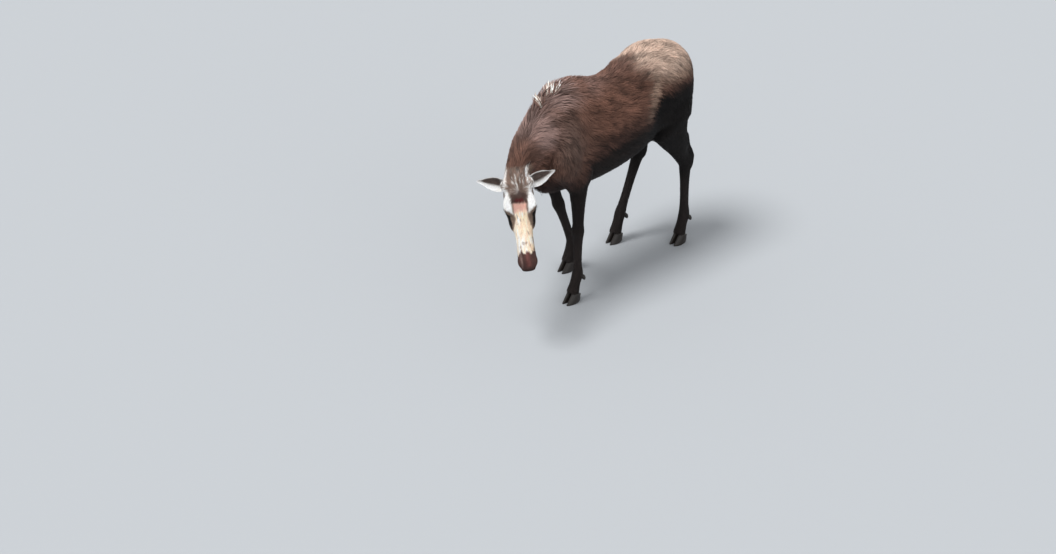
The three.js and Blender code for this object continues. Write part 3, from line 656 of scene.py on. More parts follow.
low = np.min([mass["box"][0] for mass, _ in body_field], axis=0).clip(BODY_LOW) - 20
high = np.max([mass["box"][1] for mass, _ in body_field], axis=0).clip(None, BODY_HIGH) + 20
sides = np.stack(np.meshgrid(*[np.linspace(a, b, 24) for a, b in zip(low, high)], indexing="ij"), axis=-1)
edge_of_box = body_to_grid(sides.reshape(-1, 3))
grid_low = edge_of_box.min(axis=0) - CELL
blocks = np.ceil((edge_of_box.max(axis=0) + CELL - grid_low) / (CELL * STRIDE)).astype(int)
print("blocks of the grid:", blocks, "points:", int(np.prod(blocks * STRIDE + 1)))


# %% Draw the net
def grid_body(index):
    return grid_to_body(grid_low + index * CELL)


def first_look():
    """The field at the corners of blocks of cells, and the blocks that the skin may pass through."""
    index = np.stack(np.meshgrid(*[np.arange(n + 1) * STRIDE for n in blocks], indexing="ij"), axis=-1)
    points = grid_body(index.reshape(-1, 3))
    inside = np.flatnonzero(((points > low - GRID_MARGIN) & (points < high + GRID_MARGIN)).all(axis=1))
    values = np.full(len(points), OUTSIDE)
    values[inside] = height_at(points[inside])
    span = np.linalg.norm(grid_body(index.reshape(-1, 3) + 1.0) - points, axis=1) * STRIDE * 1.25
    close = (np.abs(values) < span).reshape(blocks + 1)
    values = values.reshape(blocks + 1)
    active = np.zeros(blocks, bool)
    for i, j, k in np.ndindex(2, 2, 2):
        active |= close[i : i + blocks[0], j : j + blocks[1], k : k + blocks[2]]
    return values, active


def spread(array):
    """Repeats each block's value for all of its cells."""
    for axis in range(3):
        array = np.repeat(array, STRIDE, axis=axis)
    return array


def full_grid():
    values, active = first_look()
    grid = np.full(blocks * STRIDE + 1, OUTSIDE, np.float32)
    grid[:-1, :-1, :-1] = spread(values[:-1, :-1, :-1])
    wanted = np.zeros(grid.shape, bool)
    fine = spread(active)
    for i, j, k in np.ndindex(2, 2, 2):
        wanted[i : i + fine.shape[0], j : j + fine.shape[1], k : k + fine.shape[2]] |= fine
    index = np.argwhere(wanted)
    grid[wanted] = height_at(grid_body(index))
    return grid


# %% Join the net's corners into faces
def pulled_on(points, rounds=2):
    """Moves points along the slope of the field until they lie on the skin."""
    for _ in range(rounds):
        value = height_at(points)
        slope = np.stack([(height_at(points + NUDGE * axis) - value) / NUDGE for axis in np.eye(3)], axis=1)
        move = value / np.maximum((slope**2).sum(axis=1), 0.2)
        points = points - slope * np.clip(move, -LONGEST_MOVE, LONGEST_MOVE)[:, None]
    return points, unit(slope)


def draw_net():
    grid = full_grid()
    outside = grid > 0
    cells = [n - 1 for n in grid.shape]
    corners = np.zeros(cells, np.uint8)
    for i, j, k in np.ndindex(2, 2, 2):
        corners += outside[i : i + cells[0], j : j + cells[1], k : k + cells[2]]
    crossed = (corners > 0) & (corners < 8)
    index = np.argwhere(crossed)
    number = np.full(cells, -1, np.int32)
    number[crossed] = np.arange(len(index))
    total = np.zeros((len(index), 3))
    count = np.zeros((len(index), 1))
    for axis in range(3):
        along = np.eye(3, dtype=int)[axis]
        for i, j in np.ndindex(2, 2):
            start = index + np.roll((0, i, j), axis)
            a = grid[tuple(start.T)].astype(float)
            b = grid[tuple((start + along).T)].astype(float)
            cut = (a > 0) != (b > 0)
            share = np.where(cut, a / np.where(cut, a - b, 1), 0)
            total += (start + share[:, None] * along) * cut[:, None]
            count += cut[:, None]
    points, normals = pulled_on(grid_body(total / count))
    quads = []
    for axis in range(3):
        ahead = np.roll((1, 0, 0), axis)
        here = tuple(slice(0, n - d) for n, d in zip(outside.shape, ahead))
        beyond = tuple(slice(d, None) for d in ahead)
        edge = np.argwhere(outside[here] != outside[beyond])
        u, v = np.roll((0, 1, 0), axis), np.roll((0, 0, 1), axis)
        round_edge = ((0, 0), (1, 0), (1, 1), (0, 1))
        ring = np.stack([number[tuple((edge - a * u - b * v).T)] for a, b in round_edge], axis=1)
        flip = ~outside[tuple(edge.T)]
        ring[flip] = ring[flip][:, ::-1]
        quads.append(ring)
    return points, normals, np.concatenate(quads)


skin_points, skin_normals, skin_quads = draw_net()
print("skin:", len(skin_points), "points", 2 * len(skin_quads), "triangles")

# %% [markdown]
# ## Ears
# A moose's ear is a long cupped leaf, as thick as a finger at its root. It is too thin for the net, so it
# is a sheet folded round on itself: rings run from the root to the tip, along the inside and back along
# the outside.
# %% Ears
EAR_LENGTH = 222
EAR_HALF_WIDTH = 58
EAR_CUP = 42
EAR_THICK = 11
EAR_COAT = 2.5  # the depth of hair left on each side of the skin
EAR_RINGS = 26
EAR_ARC = 14


def ear_points(side):
    root = head_point(92, side * 84, 34)
    reach = unit(FACE_LEFT * side * 0.9 - ALONG * 0.27 - FACE_UP * 0.3)
    facing = FACE_UP * 0.85 + ALONG * 0.5
    opening = unit(facing - reach * (facing @ reach))
    wide = np.cross(reach, opening)
    t = np.linspace(0, 0.985, EAR_RINGS)[:, None]
    s = np.linspace(-1, 1, EAR_ARC)[None, :]
    half = EAR_HALF_WIDTH * (0.5 + 0.5 * np.sin(pi * np.minimum(1, 0.12 + t * 1.05)) ** 0.9)
    half = half * np.sqrt(1 - t**2.6)
    fold = EAR_CUP * (1 - 0.55 * t) * np.sqrt(1 - t**3) * (s**2 - 1) - 22 * t**2
    wall = EAR_THICK * (1 - 0.7 * s**4) * np.sqrt(1 - t**4)
    coat = np.minimum(EAR_COAT, wall * 0.3)
    sheets = []
    for depth, order in ((fold - coat, 1), (fold - wall + coat, -1)):
        across = ((half - coat) * s)[..., None]
        sheet = root + reach * (EAR_LENGTH * t)[..., None] + wide * across + opening * depth[..., None]
        sheets.append(sheet[:, ::order])
    return np.concatenate(sheets, axis=1), reach, opening


# %% Join the rings of the ears
def ring_faces(rings, around, start=0):
    """Quads between rings of points that each close on themselves."""
    i, j = np.meshgrid(np.arange(rings - 1), np.arange(around), indexing="ij")
    k = (j + 1) % around
    faces = np.stack([i * around + j, i * around + k, (i + 1) * around + k, (i + 1) * around + j], axis=-1)
    return faces.reshape(-1, 4) + start


def face_normals_at_points(points, quads):
    a, b, c, d = (points[quads[:, n]] for n in range(4))
    flat = np.cross(c - a, d - b)
    total = np.zeros_like(points)
    for n in range(4):
        np.add.at(total, quads[:, n], flat)
    return unit(total)


ears = []
for side in (1, -1):
    rings, reach, opening = ear_points(side)
    points = rings.reshape(-1, 3)
    faces = ring_faces(EAR_RINGS, 2 * EAR_ARC)
    normals = face_normals_at_points(points, faces)
    middle_back = (EAR_RINGS // 2) * 2 * EAR_ARC + EAR_ARC + EAR_ARC // 2
    if normals[middle_back] @ opening > 0:
        faces = faces[:, ::-1]
        normals = -normals
    ears.append({"points": points, "faces": faces, "normals": normals, "reach": reach})
print("points in an ear:", len(ears[0]["points"]))

# %% [markdown]
# ## Putting skin and ears in one mesh, and laying them out flat
# The skin gets a flat layout, on which its colours can be stored. The body is laid out as a hide would be:
# slit along the belly and spread to both sides, with each leg slit down its inside and laid beside it. The
# distance along a limb gives one direction of the layout and the angle round it gives the other.
# %% Which part of the hide a point belongs to
HIDE = [  # the piece of hide, its middle line, and its place on the layout: left, bottom, width and height
    ("body", spine, (0.01, 0.41, 0.98, 0.58)),
    ("foreleg_left", leg_sweeps["foreleg_left"], (0.01, 0.01, 0.18, 0.38)),
    ("foreleg_right", leg_sweeps["foreleg_right"], (0.21, 0.01, 0.18, 0.38)),
    ("hindleg_left", leg_sweeps["hindleg_left"], (0.41, 0.01, 0.18, 0.38)),
    ("hindleg_right", leg_sweeps["hindleg_right"], (0.61, 0.01, 0.18, 0.38)),
    ("tail", tail, (0.81, 0.21, 0.08, 0.08)),
    ("bell", bell, (0.91, 0.21, 0.08, 0.08)),
]
EAR_PLACES = [(0.81, 0.01, 0.08, 0.18), (0.91, 0.01, 0.08, 0.18)]
LEG_TOP = {"fore": 900, "hind": 930}
LEG_REACH = 45.0  # mm, how far outside a leg its hide still goes


def hide_of(points):
    """The number of the piece of hide that each point lies on."""
    piece = np.zeros(len(points), int)
    closest = np.full(len(points), LEG_REACH)
    for number, (name, mass, _) in enumerate(HIDE[1:], 1):
        top, reach = (LEG_TOP[leg_pair(name)], LEG_REACH) if name in LEG_JOINTS else (FAR, 4.0)
        in_box = ((points > mass["box"][0] - MARGIN) & (points < mass["box"][1] + MARGIN)).all(axis=1)
        near = np.flatnonzero(in_box & (points[:, 2] < top))
        away = distance(mass, points[near])[0]
        won = (away < reach) & (away < closest[near])
        closest[near[won]] = away[won]
        piece[near[won]] = number
    return piece


# %% Lay the hide out flat
def on_hide(mass, points):
    """Distance along a limb in mm, the angle round it, and the distance from its middle line."""
    across, height, over, mixed = local(mass, points)
    along = mixed["length"][:, 0] + over
    return np.stack([along, np.arctan2(across, height), np.hypot(across, height)], axis=1)


def lay_out(points, quads):
    """For each corner of each face: its place on the layout. Also each point's own place along and round."""
    piece = hide_of(points)
    flat = np.zeros((len(points), 3))
    layout = np.zeros((*quads.shape, 2))
    piece_of_face = piece[quads[:, 0]]
    for number, (_, mass, (left, bottom, width, height)) in enumerate(HIDE):
        faces = np.flatnonzero(piece_of_face == number)
        if not len(faces):
            continue
        used = np.unique(quads[faces])
        placed = on_hide(mass, points[used])
        own = piece[used] == number
        flat[used[own]] = placed[own]
        lookup = np.zeros(len(points), int)
        lookup[used] = np.arange(len(used))
        corner = placed[lookup[quads[faces]]]
        turn = corner[..., 1] - corner[:, :1, 1]
        angle = corner[..., 1] - 2 * pi * np.round(turn / (2 * pi))
        share = np.clip(corner[..., 0] / mass["length"][-1, 0], -0.02, 1.02)
        if number == 0:
            layout[faces, :, 0] = left + share * width
            layout[faces, :, 1] = bottom + (angle / (2 * pi) + 0.5) * height
        else:
            layout[faces, :, 0] = left + (angle / (2 * pi) + 0.5) * width
            layout[faces, :, 1] = bottom + share * height
    return layout, flat


def join_skin():
    """Body and ears as one set of points, faces, normals, hair and layout."""
    layout, flat = lay_out(skin_points, skin_quads)
    hair = in_batches(skin_at, skin_points)[1]
    bundles = [(skin_points, skin_quads, skin_normals, hair, layout, flat)]
    start = len(skin_points)
    for ear, (left, bottom, width, height) in zip(ears, EAR_PLACES):
        i, j = np.divmod(np.arange(len(ear["points"])), 2 * EAR_ARC)
        place = np.stack([left + width * j / (2 * EAR_ARC), bottom + height * i / EAR_RINGS], axis=1)
        own_layout = place[ear["faces"]]
        far = own_layout[..., 0] - own_layout[..., 0].min(axis=1, keepdims=True) > width / 2
        own_layout[..., 0] -= far * width
        own_hair = np.column_stack([np.tile(ear["reach"], (len(place), 1)), np.full(len(place), EAR_COAT)])
        own_flat = np.column_stack([i * EAR_LENGTH / EAR_RINGS, j * pi / EAR_ARC, np.full(len(place), 30.0)])
        bundles.append((ear["points"], ear["faces"] + start, ear["normals"], own_hair, own_layout, own_flat))
        start += len(ear["points"])
    return [np.concatenate(column) for column in zip(*bundles)]


points, quads, normals, hair, layout, flat = join_skin()
layout = layout.clip(0.003, 0.997)
EAR_START = len(skin_points)
layout_box = [end(axis=(0, 1)).round(3) for end in (layout.min, layout.max)]
print("skin and ears:", len(points), "points; layout spans", *layout_box)

# %% [markdown]
# ## Markings
# A moose's coat is dark brown and fades to near black under the belly and down the legs. This one is
# losing her winter coat: her rump is bleached to cream, a tan band runs down in front of her thigh, and
# raised pale hairs fan over the hump. A grey-mauve sheen is painted along the top of her back and hump.
# Her face is the palest part, with white over the eyes, a black streak forward from each eye and a dark
# muzzle. Skin and hair are both painted by the same function of a place on the body.
# %% Soft steps, noise and mixing
def hump_of(value, middle, width):
    return np.exp(-(((value - middle) / width) ** 2))


LATTICE_SIZE = 32
LATTICE = np.random.default_rng(7).random((LATTICE_SIZE,) * 3)


def noise(points, size, shift=0.0):
    """Smooth random numbers from 0 to 1 that change over a given size."""
    at = points / size + shift
    base = np.floor(at).astype(int)
    t = at - base
    t = t * t * (3 - 2 * t)
    total = np.zeros(len(points))
    for corner in np.ndindex(2, 2, 2):
        weight = np.prod(np.where(corner, t, 1 - t), axis=1)
        total += weight * LATTICE[tuple(((base + corner) % LATTICE_SIZE).T)]
    return total


def layered(base, *layers):
    """Lays colours over each other: each layer is a colour and how much of it there is at each point."""
    for color, amount in layers:
        base = base + (np.array(color) - base) * np.clip(amount, 0, 1)[:, None]
    return base


# %% Colours of the body
BROWN = (0.102, 0.053, 0.039)
RED_BROWN = (0.158, 0.075, 0.051)
GREY_BROWN = (0.112, 0.077, 0.063)
MAUVE = (0.29, 0.19, 0.165)
TAN = (0.34, 0.235, 0.175)
CREAM = (0.59, 0.435, 0.345)
PINK = (0.80, 0.48, 0.39)
DARK = (0.024, 0.012, 0.010)
BLACK = (0.0045, 0.0032, 0.003)
SHIN = (0.026, 0.019, 0.017)


# %% The fan of pale hair on the hump
def near_line(points, start, end):
    """The distance of points from a straight line between two places, and how far along it they are."""
    start, run = np.array(start, float), np.subtract(end, start)
    t = np.clip((points - start) @ run / (run @ run), 0, 1)
    return np.linalg.norm(points - start - t[:, None] * run, axis=1), t


FAN_ROOT = (72, -610, 1640)  # the pale hairs on the left of the hump rise from here, towards the ridge
FAN_RAYS = [((-62, -14), 81), ((2, 72), 52), ((26, 61), 58), ((50, 50), 40)]  # back and up from it; degrees
FAN_TUFT = 26  # mm, how far along each ray its hairs have their roots


def hump_fan(points):
    """How far a point belongs to the fan of pale hair, to its rays, and the way that the hair lies there."""
    aside, back, rise = (points - FAN_ROOT).T
    flat_at = np.column_stack([back, rise - 0.8 * aside])
    amount, rays = np.zeros((2, len(points)))
    way = np.zeros((len(points), 2))
    for start, angle in FAN_RAYS:
        ray = np.array([cos(radians(angle)), sin(radians(angle))])
        gap, _ = near_line(flat_at, start, start + FAN_TUFT * ray)
        near = (1 - step(gap, 15, 32)) * step(points[:, 2], 1400, 1500) * step(points[:, 0], -5, 15)
        way += near[:, None] * ray
        amount = np.maximum(amount, near)
        rays = np.maximum(rays, (1 - step(gap, 7, 11)) * near)
    return amount, rays, np.column_stack([-0.9 * way[:, 1], way[:, 0], 0.45 * way[:, 1]])


# %% Layers of colour on the body
def body_colors(points):
    _, y, z = points.T
    ragged = 70 * (noise(points, 55) - 0.5) + 60 * (noise(points, 140, 5) - 0.5)
    # ridge: the top of the back, which gets a painted grey-mauve sheen
    ridge = step(z, 1540, 1660) * step(y, -400, -240) * (1 - step(y, 120, 260))
    neck = hump_of(y, -780, 110) * hump_of(z, 1485, 130) * (0.7 + noise(points, 45, 2))
    hump_top_sheen = hump_of(y, -590, 150) * step(z, 1560, 1630) * (0.6 + noise(points, 50, 11))
    wet = step(noise(points, 60, 13), 0.55, 0.75) * hump_of(y, -690, 90) * step(z, 1600, 1660)
    band_y = 288 + 0.6 * (z - 1415)
    band = hump_of(y + 0.3 * ragged, band_y, 40) * step(z, 1215, 1290) * (1 - step(z, 1530, 1580))
    hip = step(z, 1430, 1520) * step(y + ragged, band_y, band_y + 90)
    rump = step(z + 0.25 * ragged, 1490, 1600) * step(y + ragged, 170, 330)
    belly = 1212 + 0.1 * y - 150 * step(-y, 300, 520) + 0.5 * ragged
    dark_chest_and_shade = step(-y, 500, 600) * (1 - step(z + 0.5 * ragged, 1030, 1150))
    thigh = step(y + 0.3 * ragged - band_y, 36, 80) * (1 - step(z + 0.5 * ragged, 1370, 1470))
    return layered(
        BROWN,
        (RED_BROWN, 1.5 * noise(points, 190, 3) - 0.3),
        (RED_BROWN, 0.8 * hump_of(y, 60, 260) * hump_of(z, 1400, 180)),  # ribs
        (GREY_BROWN, 0.6 * hump_of(y, -540, 150) * hump_of(z, 1350, 230)),  # shoulder
        # painted sheen: grey-mauve light along the top of the back
        (MAUVE, 0.4 * ridge),
        (MAUVE, neck),
        # painted sheen on the top of the hump
        (MAUVE, 1.2 * hump_top_sheen),
        (DARK, 0.7 * wet),
        (TAN, 0.9 * band + 0.7 * hip),
        (CREAM, rump * (0.6 + 0.6 * noise(points, 60, 9))),
        (RED_BROWN, 0.7 * hump_fan(points)[0]),
        (DARK, 0.75 * (1 - step(z, belly, belly + 180))),
        (BLACK, 0.9 * (1 - step(z, belly - 70, belly + 20))),
        # dark hair of the brisket, deepened by painted shade on the chest
        (DARK, 0.85 * dark_chest_and_shade),
        (BLACK, thigh),
        (SHIN, 0.7 * (1 - step(z, 380, 700))),
    )


# %% Colours of the head, and all markings together
CHEEK = (0.20, 0.140, 0.105)
MUZZLE = (0.085, 0.040, 0.034)
MUZZLE_RED = (0.22, 0.075, 0.065)
PATCH = (0.21, 0.140, 0.108)
FACE_CREAM = (0.95, 0.73, 0.54)
FACE_WHITE = (1.0, 0.97, 0.93)
FOREHEAD_DARK = (0.062, 0.033, 0.027)
FOREHEAD_RED = (0.11, 0.010, 0.010)
SLANT = np.array([[0.28, 0.28, 0], [-0.9, 0.9, 0], [0, 0, 0.6]])  # streaks that cross the nose bridge
# Two lines on the side of the head, each from and to a place down the face, aside and out of the forehead
EAR_TO_BROW = ((84, 92, 36), (120, 100, 26))
EYE_STREAK = ((270, 112, 36), (385, 76, 24))


def forehead_layers(place, ragged, streaks):
    """A grey-brown crown with a pale rim, a dark patch with a red spot, a pink one under it, and brows."""
    along, left, up = place.T
    wide = np.abs(left)
    on_top = step(up + 0.4 * ragged, 30, 55)
    flecks = step(streaks, 0.58, 0.68) * hump_of(along, 95, 48) * (1 - step(wide, 34, 52))
    dark = step(along + ragged - 0.5 * wide, 130, 160) * (1 - step(along, 214, 224))
    dark = dark * (1 - step(wide + 0.5 * ragged, 44, 58))
    red = hump_of(along, 200, 13) * (1 - step(wide, 20, 32))
    pink = step(along, 214, 226) * (1 - step(along + ragged, 280, 310)) * (1 - step(wide, 38, 52))
    rim = hump_of(wide + 0.35 * ragged, 70 + 0.06 * along, 9)
    rim = rim * step(up + ragged, 10, 40) * (1 - step(along, 120, 150))
    from_ear, _ = near_line(np.column_stack([along, wide, up]), *EAR_TO_BROW)
    low_edge = 292 - 0.75 * np.clip(wide - 60, -20, 60)
    brow = step(wide + 0.3 * ragged, 50, 60) * step(up + 0.5 * ragged, 20, 40)
    brow = brow * step(along + ragged, 118, 140)
    brow = brow * (1 - step(along + 0.3 * ragged, low_edge - 10, low_edge + 6))
    return [
        (PATCH, step(up, 10, 50) * (1 - step(along, 150, 230))),
        (FACE_WHITE, 0.8 * flecks * on_top),
        (FOREHEAD_DARK, 0.9 * dark * on_top),
        (FOREHEAD_RED, red * on_top),
        (PINK, pink * on_top),
        (FACE_WHITE, np.maximum(rim, 1 - step(from_ear + 0.6 * ragged, 17, 30))),
        (FACE_WHITE, brow),
    ]


# %% The muzzle, the whole head and the ears
def muzzle_colors(place):
    along, left, up = place.T
    return layered(
        MUZZLE,
        (MUZZLE_RED, 0.7 * hump_of(left, 6, 16) * step(up, 30, 50)),
        (MAUVE, 0.6 * hump_of(left, -42, 7) * step(up, 20, 45)),
        (DARK, 0.8 * (1 - step(up, -30, 0)) + 0.8 * step(along, 694, 712)),
    )


def head_colors(points, color):
    place = in_head(points)
    along, left, up = place.T
    wide = np.abs(left)
    ragged = 26 * (noise(points, 16) - 0.5) + 14 * (noise(points, 7, 4) - 0.5)
    streaks = noise(place * (0.12, 1, 1), 10, 2)
    on_head = step(along + ragged, -25, 5) * (1 - step(-up, 175, 195)) * (1 - step(wide, 150, 170))
    pale_edge = 46 + 24 * step(along, 320, 430) + 0.4 * ragged
    bridge = step(along + ragged, 262, 290) * step(up, -22, 12)
    bridge = bridge * (1 - step(wide, pale_edge - 6, pale_edge + 8))
    white = 2.4 * streaks - 1.25 + 0.8 * hump_of(left, -48, 16)
    white = white + 0.5 * hump_of(left, -8, 12) * step(along, 420, 500)
    slanted = 0.7 * step(noise(place @ SLANT, 12, 6), 0.68, 0.76)
    streak_gap, share = near_line(np.column_stack([along, wide, up]), *EYE_STREAK)
    width = 24 - 13 * share + 0.3 * ragged
    face = layered(
        CHEEK,
        (DARK, 0.8 * (1 - step(up + ragged, -95, -40))),
        *forehead_layers(place, ragged, streaks),
        (layered(FACE_CREAM, (FACE_WHITE, white), (PATCH, slanted)), bridge),
        # a black streak that runs forward from each eye
        (BLACK, 1 - step(streak_gap, width - 5, width + 3)),
        (muzzle_colors(place), step(along + 1.1 * ragged + 12 * np.sin(left / 7), 574, 586)),
        # painted shade: black deep in the nostrils and along the mouth line
        (BLACK, step(openings(place), 2.0, 5.0)),
    )
    return layered(color, (face, on_head))


def markings(points):
    return head_colors(points, body_colors(points))


def ear_colors(flat_ear, side):
    """White on the rim towards the nose, thinly on the other rim and at the root, and grey-brown between."""
    along, around, _ = flat_ear.T
    share = (around / pi) % 1.0
    inside = around < pi
    to_nose = side * np.where(inside, 2 * share - 1, 1 - 2 * share)
    return layered(
        np.where(inside[:, None], (0.12, 0.088, 0.075), (0.19, 0.135, 0.105)),
        (FACE_WHITE, step(to_nose, 0.3, 0.58) + step(-to_nose, 0.76, 0.92)),
        (FACE_WHITE, (1 - step(along, 15, 55)) + 0.8 * step(along, 165, 200)),
    )


# %% [markdown]
# ## Materials that read the markings
# The shader reads the painted markings from the mesh and lays finer things over them that are true at any
# distance: pores and wrinkles on skin, and on hair the fine lines of single hairs along each lock. Hair is
# rough with a faint sheen, and bare dark skin is smoother and a little moist.
# %% Materials for skin and hair
def node_material(name, roughness, sheen=0.0, specular=0.4):
    material = bpy.data.materials.new(name)
    material.use_nodes = True
    shader = material.node_tree.nodes["Principled BSDF"]
    shader.inputs["Roughness"].default_value = roughness
    shader.inputs["Sheen Weight"].default_value = sheen
    shader.inputs["Sheen Roughness"].default_value = 0.5
    shader.inputs["Specular IOR Level"].default_value = specular
    return material, material.node_tree.nodes, material.node_tree.links, shader


def read_attribute(nodes, name):
    node = nodes.new("ShaderNodeAttribute")
    node.attribute_name = name
    return node


def add_bump(nodes, links, shader, height, strength, depth):
    bump = nodes.new("ShaderNodeBump")
    bump.inputs["Strength"].default_value = strength
    bump.inputs["Distance"].default_value = depth
    links.new(height, bump.inputs["Height"])
    links.new(bump.outputs["Normal"], shader.inputs["Normal"])


def shade(nodes, links, color, factor, low, high):
    """Multiplies a colour by a grey that runs from low to high with the factor."""
    spread_of = nodes.new("ShaderNodeMapRange")
    spread_of.inputs["To Min"].default_value = low
    spread_of.inputs["To Max"].default_value = high
    links.new(factor, spread_of.inputs["Value"])
    mix = nodes.new("ShaderNodeMix")
    mix.data_type = "RGBA"
    mix.blend_type = "MULTIPLY"
    mix.inputs["Factor"].default_value = 1.0
    links.new(color, mix.inputs["A"])
    links.new(spread_of.outputs["Result"], mix.inputs["B"])
    return mix.outputs["Result"]


# %% One kind of material for skin, hair and eyes
def grained_material(name, roughness, grain, shades, bump=None, color=None, follows=None, **surface):
    """A material whose colour is varied by a fine grain, which may also stand out as a bump.

    The grain is a kind of texture with its settings, and may follow an attribute of the mesh. The shades are
    how dark and how light it makes the colour, which is one for all, or else the painted markings.
    """
    material, nodes, links, shader = node_material(name, roughness, **surface)
    kind, settings = grain
    texture = nodes.new(f"ShaderNodeTex{kind}")
    for key, value in settings.items():
        texture.inputs[key].default_value = value
    if follows:
        links.new(read_attribute(nodes, follows).outputs["Vector"], texture.inputs["Vector"])
    if color:
        base = nodes.new("ShaderNodeRGB").outputs[0]
        base.default_value = (*color, 1)
    else:
        base = read_attribute(nodes, "marking").outputs["Color"]
    factor = texture.outputs["Distance" if kind == "Voronoi" else "Fac"]
    links.new(shade(nodes, links, base, factor, *shades), shader.inputs["Base Color"])
    if bump:
        add_bump(nodes, links, shader, factor, *bump)
    return material


# %% Meshes straight from arrays
def mesh_object(name, points, faces, material, layout=None, **attributes):
    faces = np.asarray(faces, np.int32)
    mesh = bpy.data.meshes.new(name)
    mesh.vertices.add(len(points))
    mesh.vertices.foreach_set("co", np.asarray(points, np.float32).ravel())
    mesh.loops.add(faces.size)
    mesh.loops.foreach_set("vertex_index", faces.ravel())
    mesh.polygons.add(len(faces))
    mesh.polygons.foreach_set("loop_start", np.arange(0, faces.size, faces.shape[1], dtype=np.int32))
    mesh.update(calc_edges=True)
    mesh.shade_smooth()
    if layout is not None:
        uv = mesh.uv_layers.new(name="OFBake")
        uv.data.foreach_set("uv", np.asarray(layout, np.float32).ravel())
    for key, values in attributes.items():
        kind = "FLOAT_COLOR" if values.shape[1] == 4 else "FLOAT_VECTOR"
        store = mesh.attributes.new(key, kind, "POINT")
        part = "color" if kind == "FLOAT_COLOR" else "vector"
        store.data.foreach_set(part, np.asarray(values, np.float32).ravel())
    mesh.materials.append(material)
    piece = bpy.data.objects.new(name, mesh)
    bpy.context.scene.collection.objects.link(piece)
    return piece


def with_alpha(colors):
    return np.column_stack([colors, np.ones(len(colors))])


# %% The skin
FLESH_NODES = ["trunk", "neck", "head", "ear_left", "ear_right", "tail", "bell"]
FLESH_NODES += [node for node in frame["nodes"] if node.endswith(("_forearm", "_gaskin", "_cannon"))]
# Painted shade: the skin that shows between the locks is darkened as if shaded by them.
SKIN_SHADE = 0.8  # the skin between the locks is a little darker than they are

skin_colors = markings(points)
for number, ear in enumerate(ears):
    own = slice(EAR_START + number * len(ear["points"]), EAR_START + (number + 1) * len(ear["points"]))
    skin_colors[own] = ear_colors(flat[own], 1 - 2 * number)
pored_skin = grained_material(
    "moose_skin", 0.75, ("Noise", {"Scale": 420, "Detail": 4}), (0.7, 1.15), bump=(0.5, 0.0012)
)
skin = mesh_object(
    "moose_skin", to_model(points), quads, pored_skin, layout, marking=with_alpha(skin_colors * SKIN_SHADE)
)
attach(skin, "root")
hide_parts(*FLESH_NODES)
print("skin triangles:", 2 * len(quads))

# %% [markdown]
# ## The coat: where each lock grows
# A moose's guard hairs are long and coarse and hang together in flat locks, like shingles. We scatter
# roots over the skin, closer where the hair is short, and give each lock the lie of the coat at its root.
# Hair lies back from the brow and down from it towards the nose, sinks down the flanks, and stands up over
# the hump. Neighbouring locks are drawn together in clumps, which share a tone, so the coat looks shaggy
# and streaked.
# %% Roots of the locks
HAIR_SHARE = 1.0
LONG_COAT = 9.0  # mm; deeper coats get long ridged locks, and shorter ones get flat ones
COVER_LONG = 5.0  # how many locks lie over each other
COVER_SHORT = 4.2
BARE_REACH = (23, 40, 14)  # round the eye: down the face, to the side and out of the forehead
BARE_DEPTH = 4.0  # mm; no hair grows deeper than this in the nostrils and the mouth
MUZZLE_START = 520  # down the face
random = np.random.default_rng(21)


def lock_length(coat):
    return 6 + 3.1 * coat


def lock_width(coat):
    return 2.0 + 0.112 * coat


def halved(faces):
    """Two triangles for each face with four corners, or what is stored at those corners."""
    return np.concatenate([faces[:, (0, 1, 2)], faces[:, (0, 2, 3)]])


def scatter():
    """Roots spread evenly over the skin, each with everything that the skin knows at that place."""
    corners, corner_layout = halved(quads), halved(layout)
    a, b, c = (points[corners[:, n]] for n in range(3))
    area = np.linalg.norm(np.cross(b - a, c - a), axis=1) / 2
    coat = hair[corners[:, 0], 3]
    cover = np.where(coat > LONG_COAT, COVER_LONG, COVER_SHORT) * HAIR_SHARE * (1 + 1.5 * hump_fan(a)[0])
    wanted = np.cumsum(area * cover / (lock_length(coat) * lock_width(coat)))
    count = int(wanted[-1])
    face = np.searchsorted(wanted, np.arange(count) + random.random(count)).clip(0, len(corners) - 1)
    u, v = random.random((2, count))
    over = u + v > 1
    u[over], v[over] = 1 - u[over], 1 - v[over]
    weight = np.stack([1 - u - v, u, v], axis=1)

    def blended(values):
        return np.einsum("nk,nkd->nd", weight, values[corners[face]])

    place = np.einsum("nk,nkd->nd", weight, corner_layout[face])
    at, own_hair = blended(points), blended(hair)
    return {
        "at": at,
        "normal": unit(blended(normals)),
        "layout": place,
        "lie": own_hair[:, :3],
        "coat": own_hair[:, 3],
        "flat": flat[corners[face, 0]],
        "ear": corners[face, 0] >= EAR_START,
        "bell": distance(bell, at)[0] < 3,
        "color": blended(skin_colors),
    }


def bare(at):
    """No hair grows on the lids, in the nostrils or along the mouth."""
    place = in_head(at)
    place[:, 1] = np.abs(place[:, 1])
    lids = np.linalg.norm((place - EYE_PLACE) / BARE_REACH, axis=1) < 1
    return lids | (openings(place) > BARE_DEPTH) & (place[:, 0] > MUZZLE_START)


locks = scatter()
grown = ~bare(locks["at"])
locks = {key: values[grown] for key, values in locks.items()}
print("locks:", len(locks["at"]))


# %% The lie of the coat
WHORL = 150.0  # down the face, where the hair of the forehead parts
FAN_PALE = (1.0, 0.86, 0.75)  # only on the locks, so that the skin under them stays dark


def face_lie(place):
    """Hair parts at the whorl, and runs to the nose below it, to the poll above it, and down the cheeks."""
    along, left, up = place.T
    cheek = step(-up, -45, 60)
    run = np.tanh((along - WHORL - 190 * cheek) / 90)
    aside = 0.7 * np.clip(left / 60, -1, 1) * (1 - np.abs(run))
    return unit(np.column_stack([run, aside, -0.25 - 0.55 * cheek]) @ HEAD_AXES)


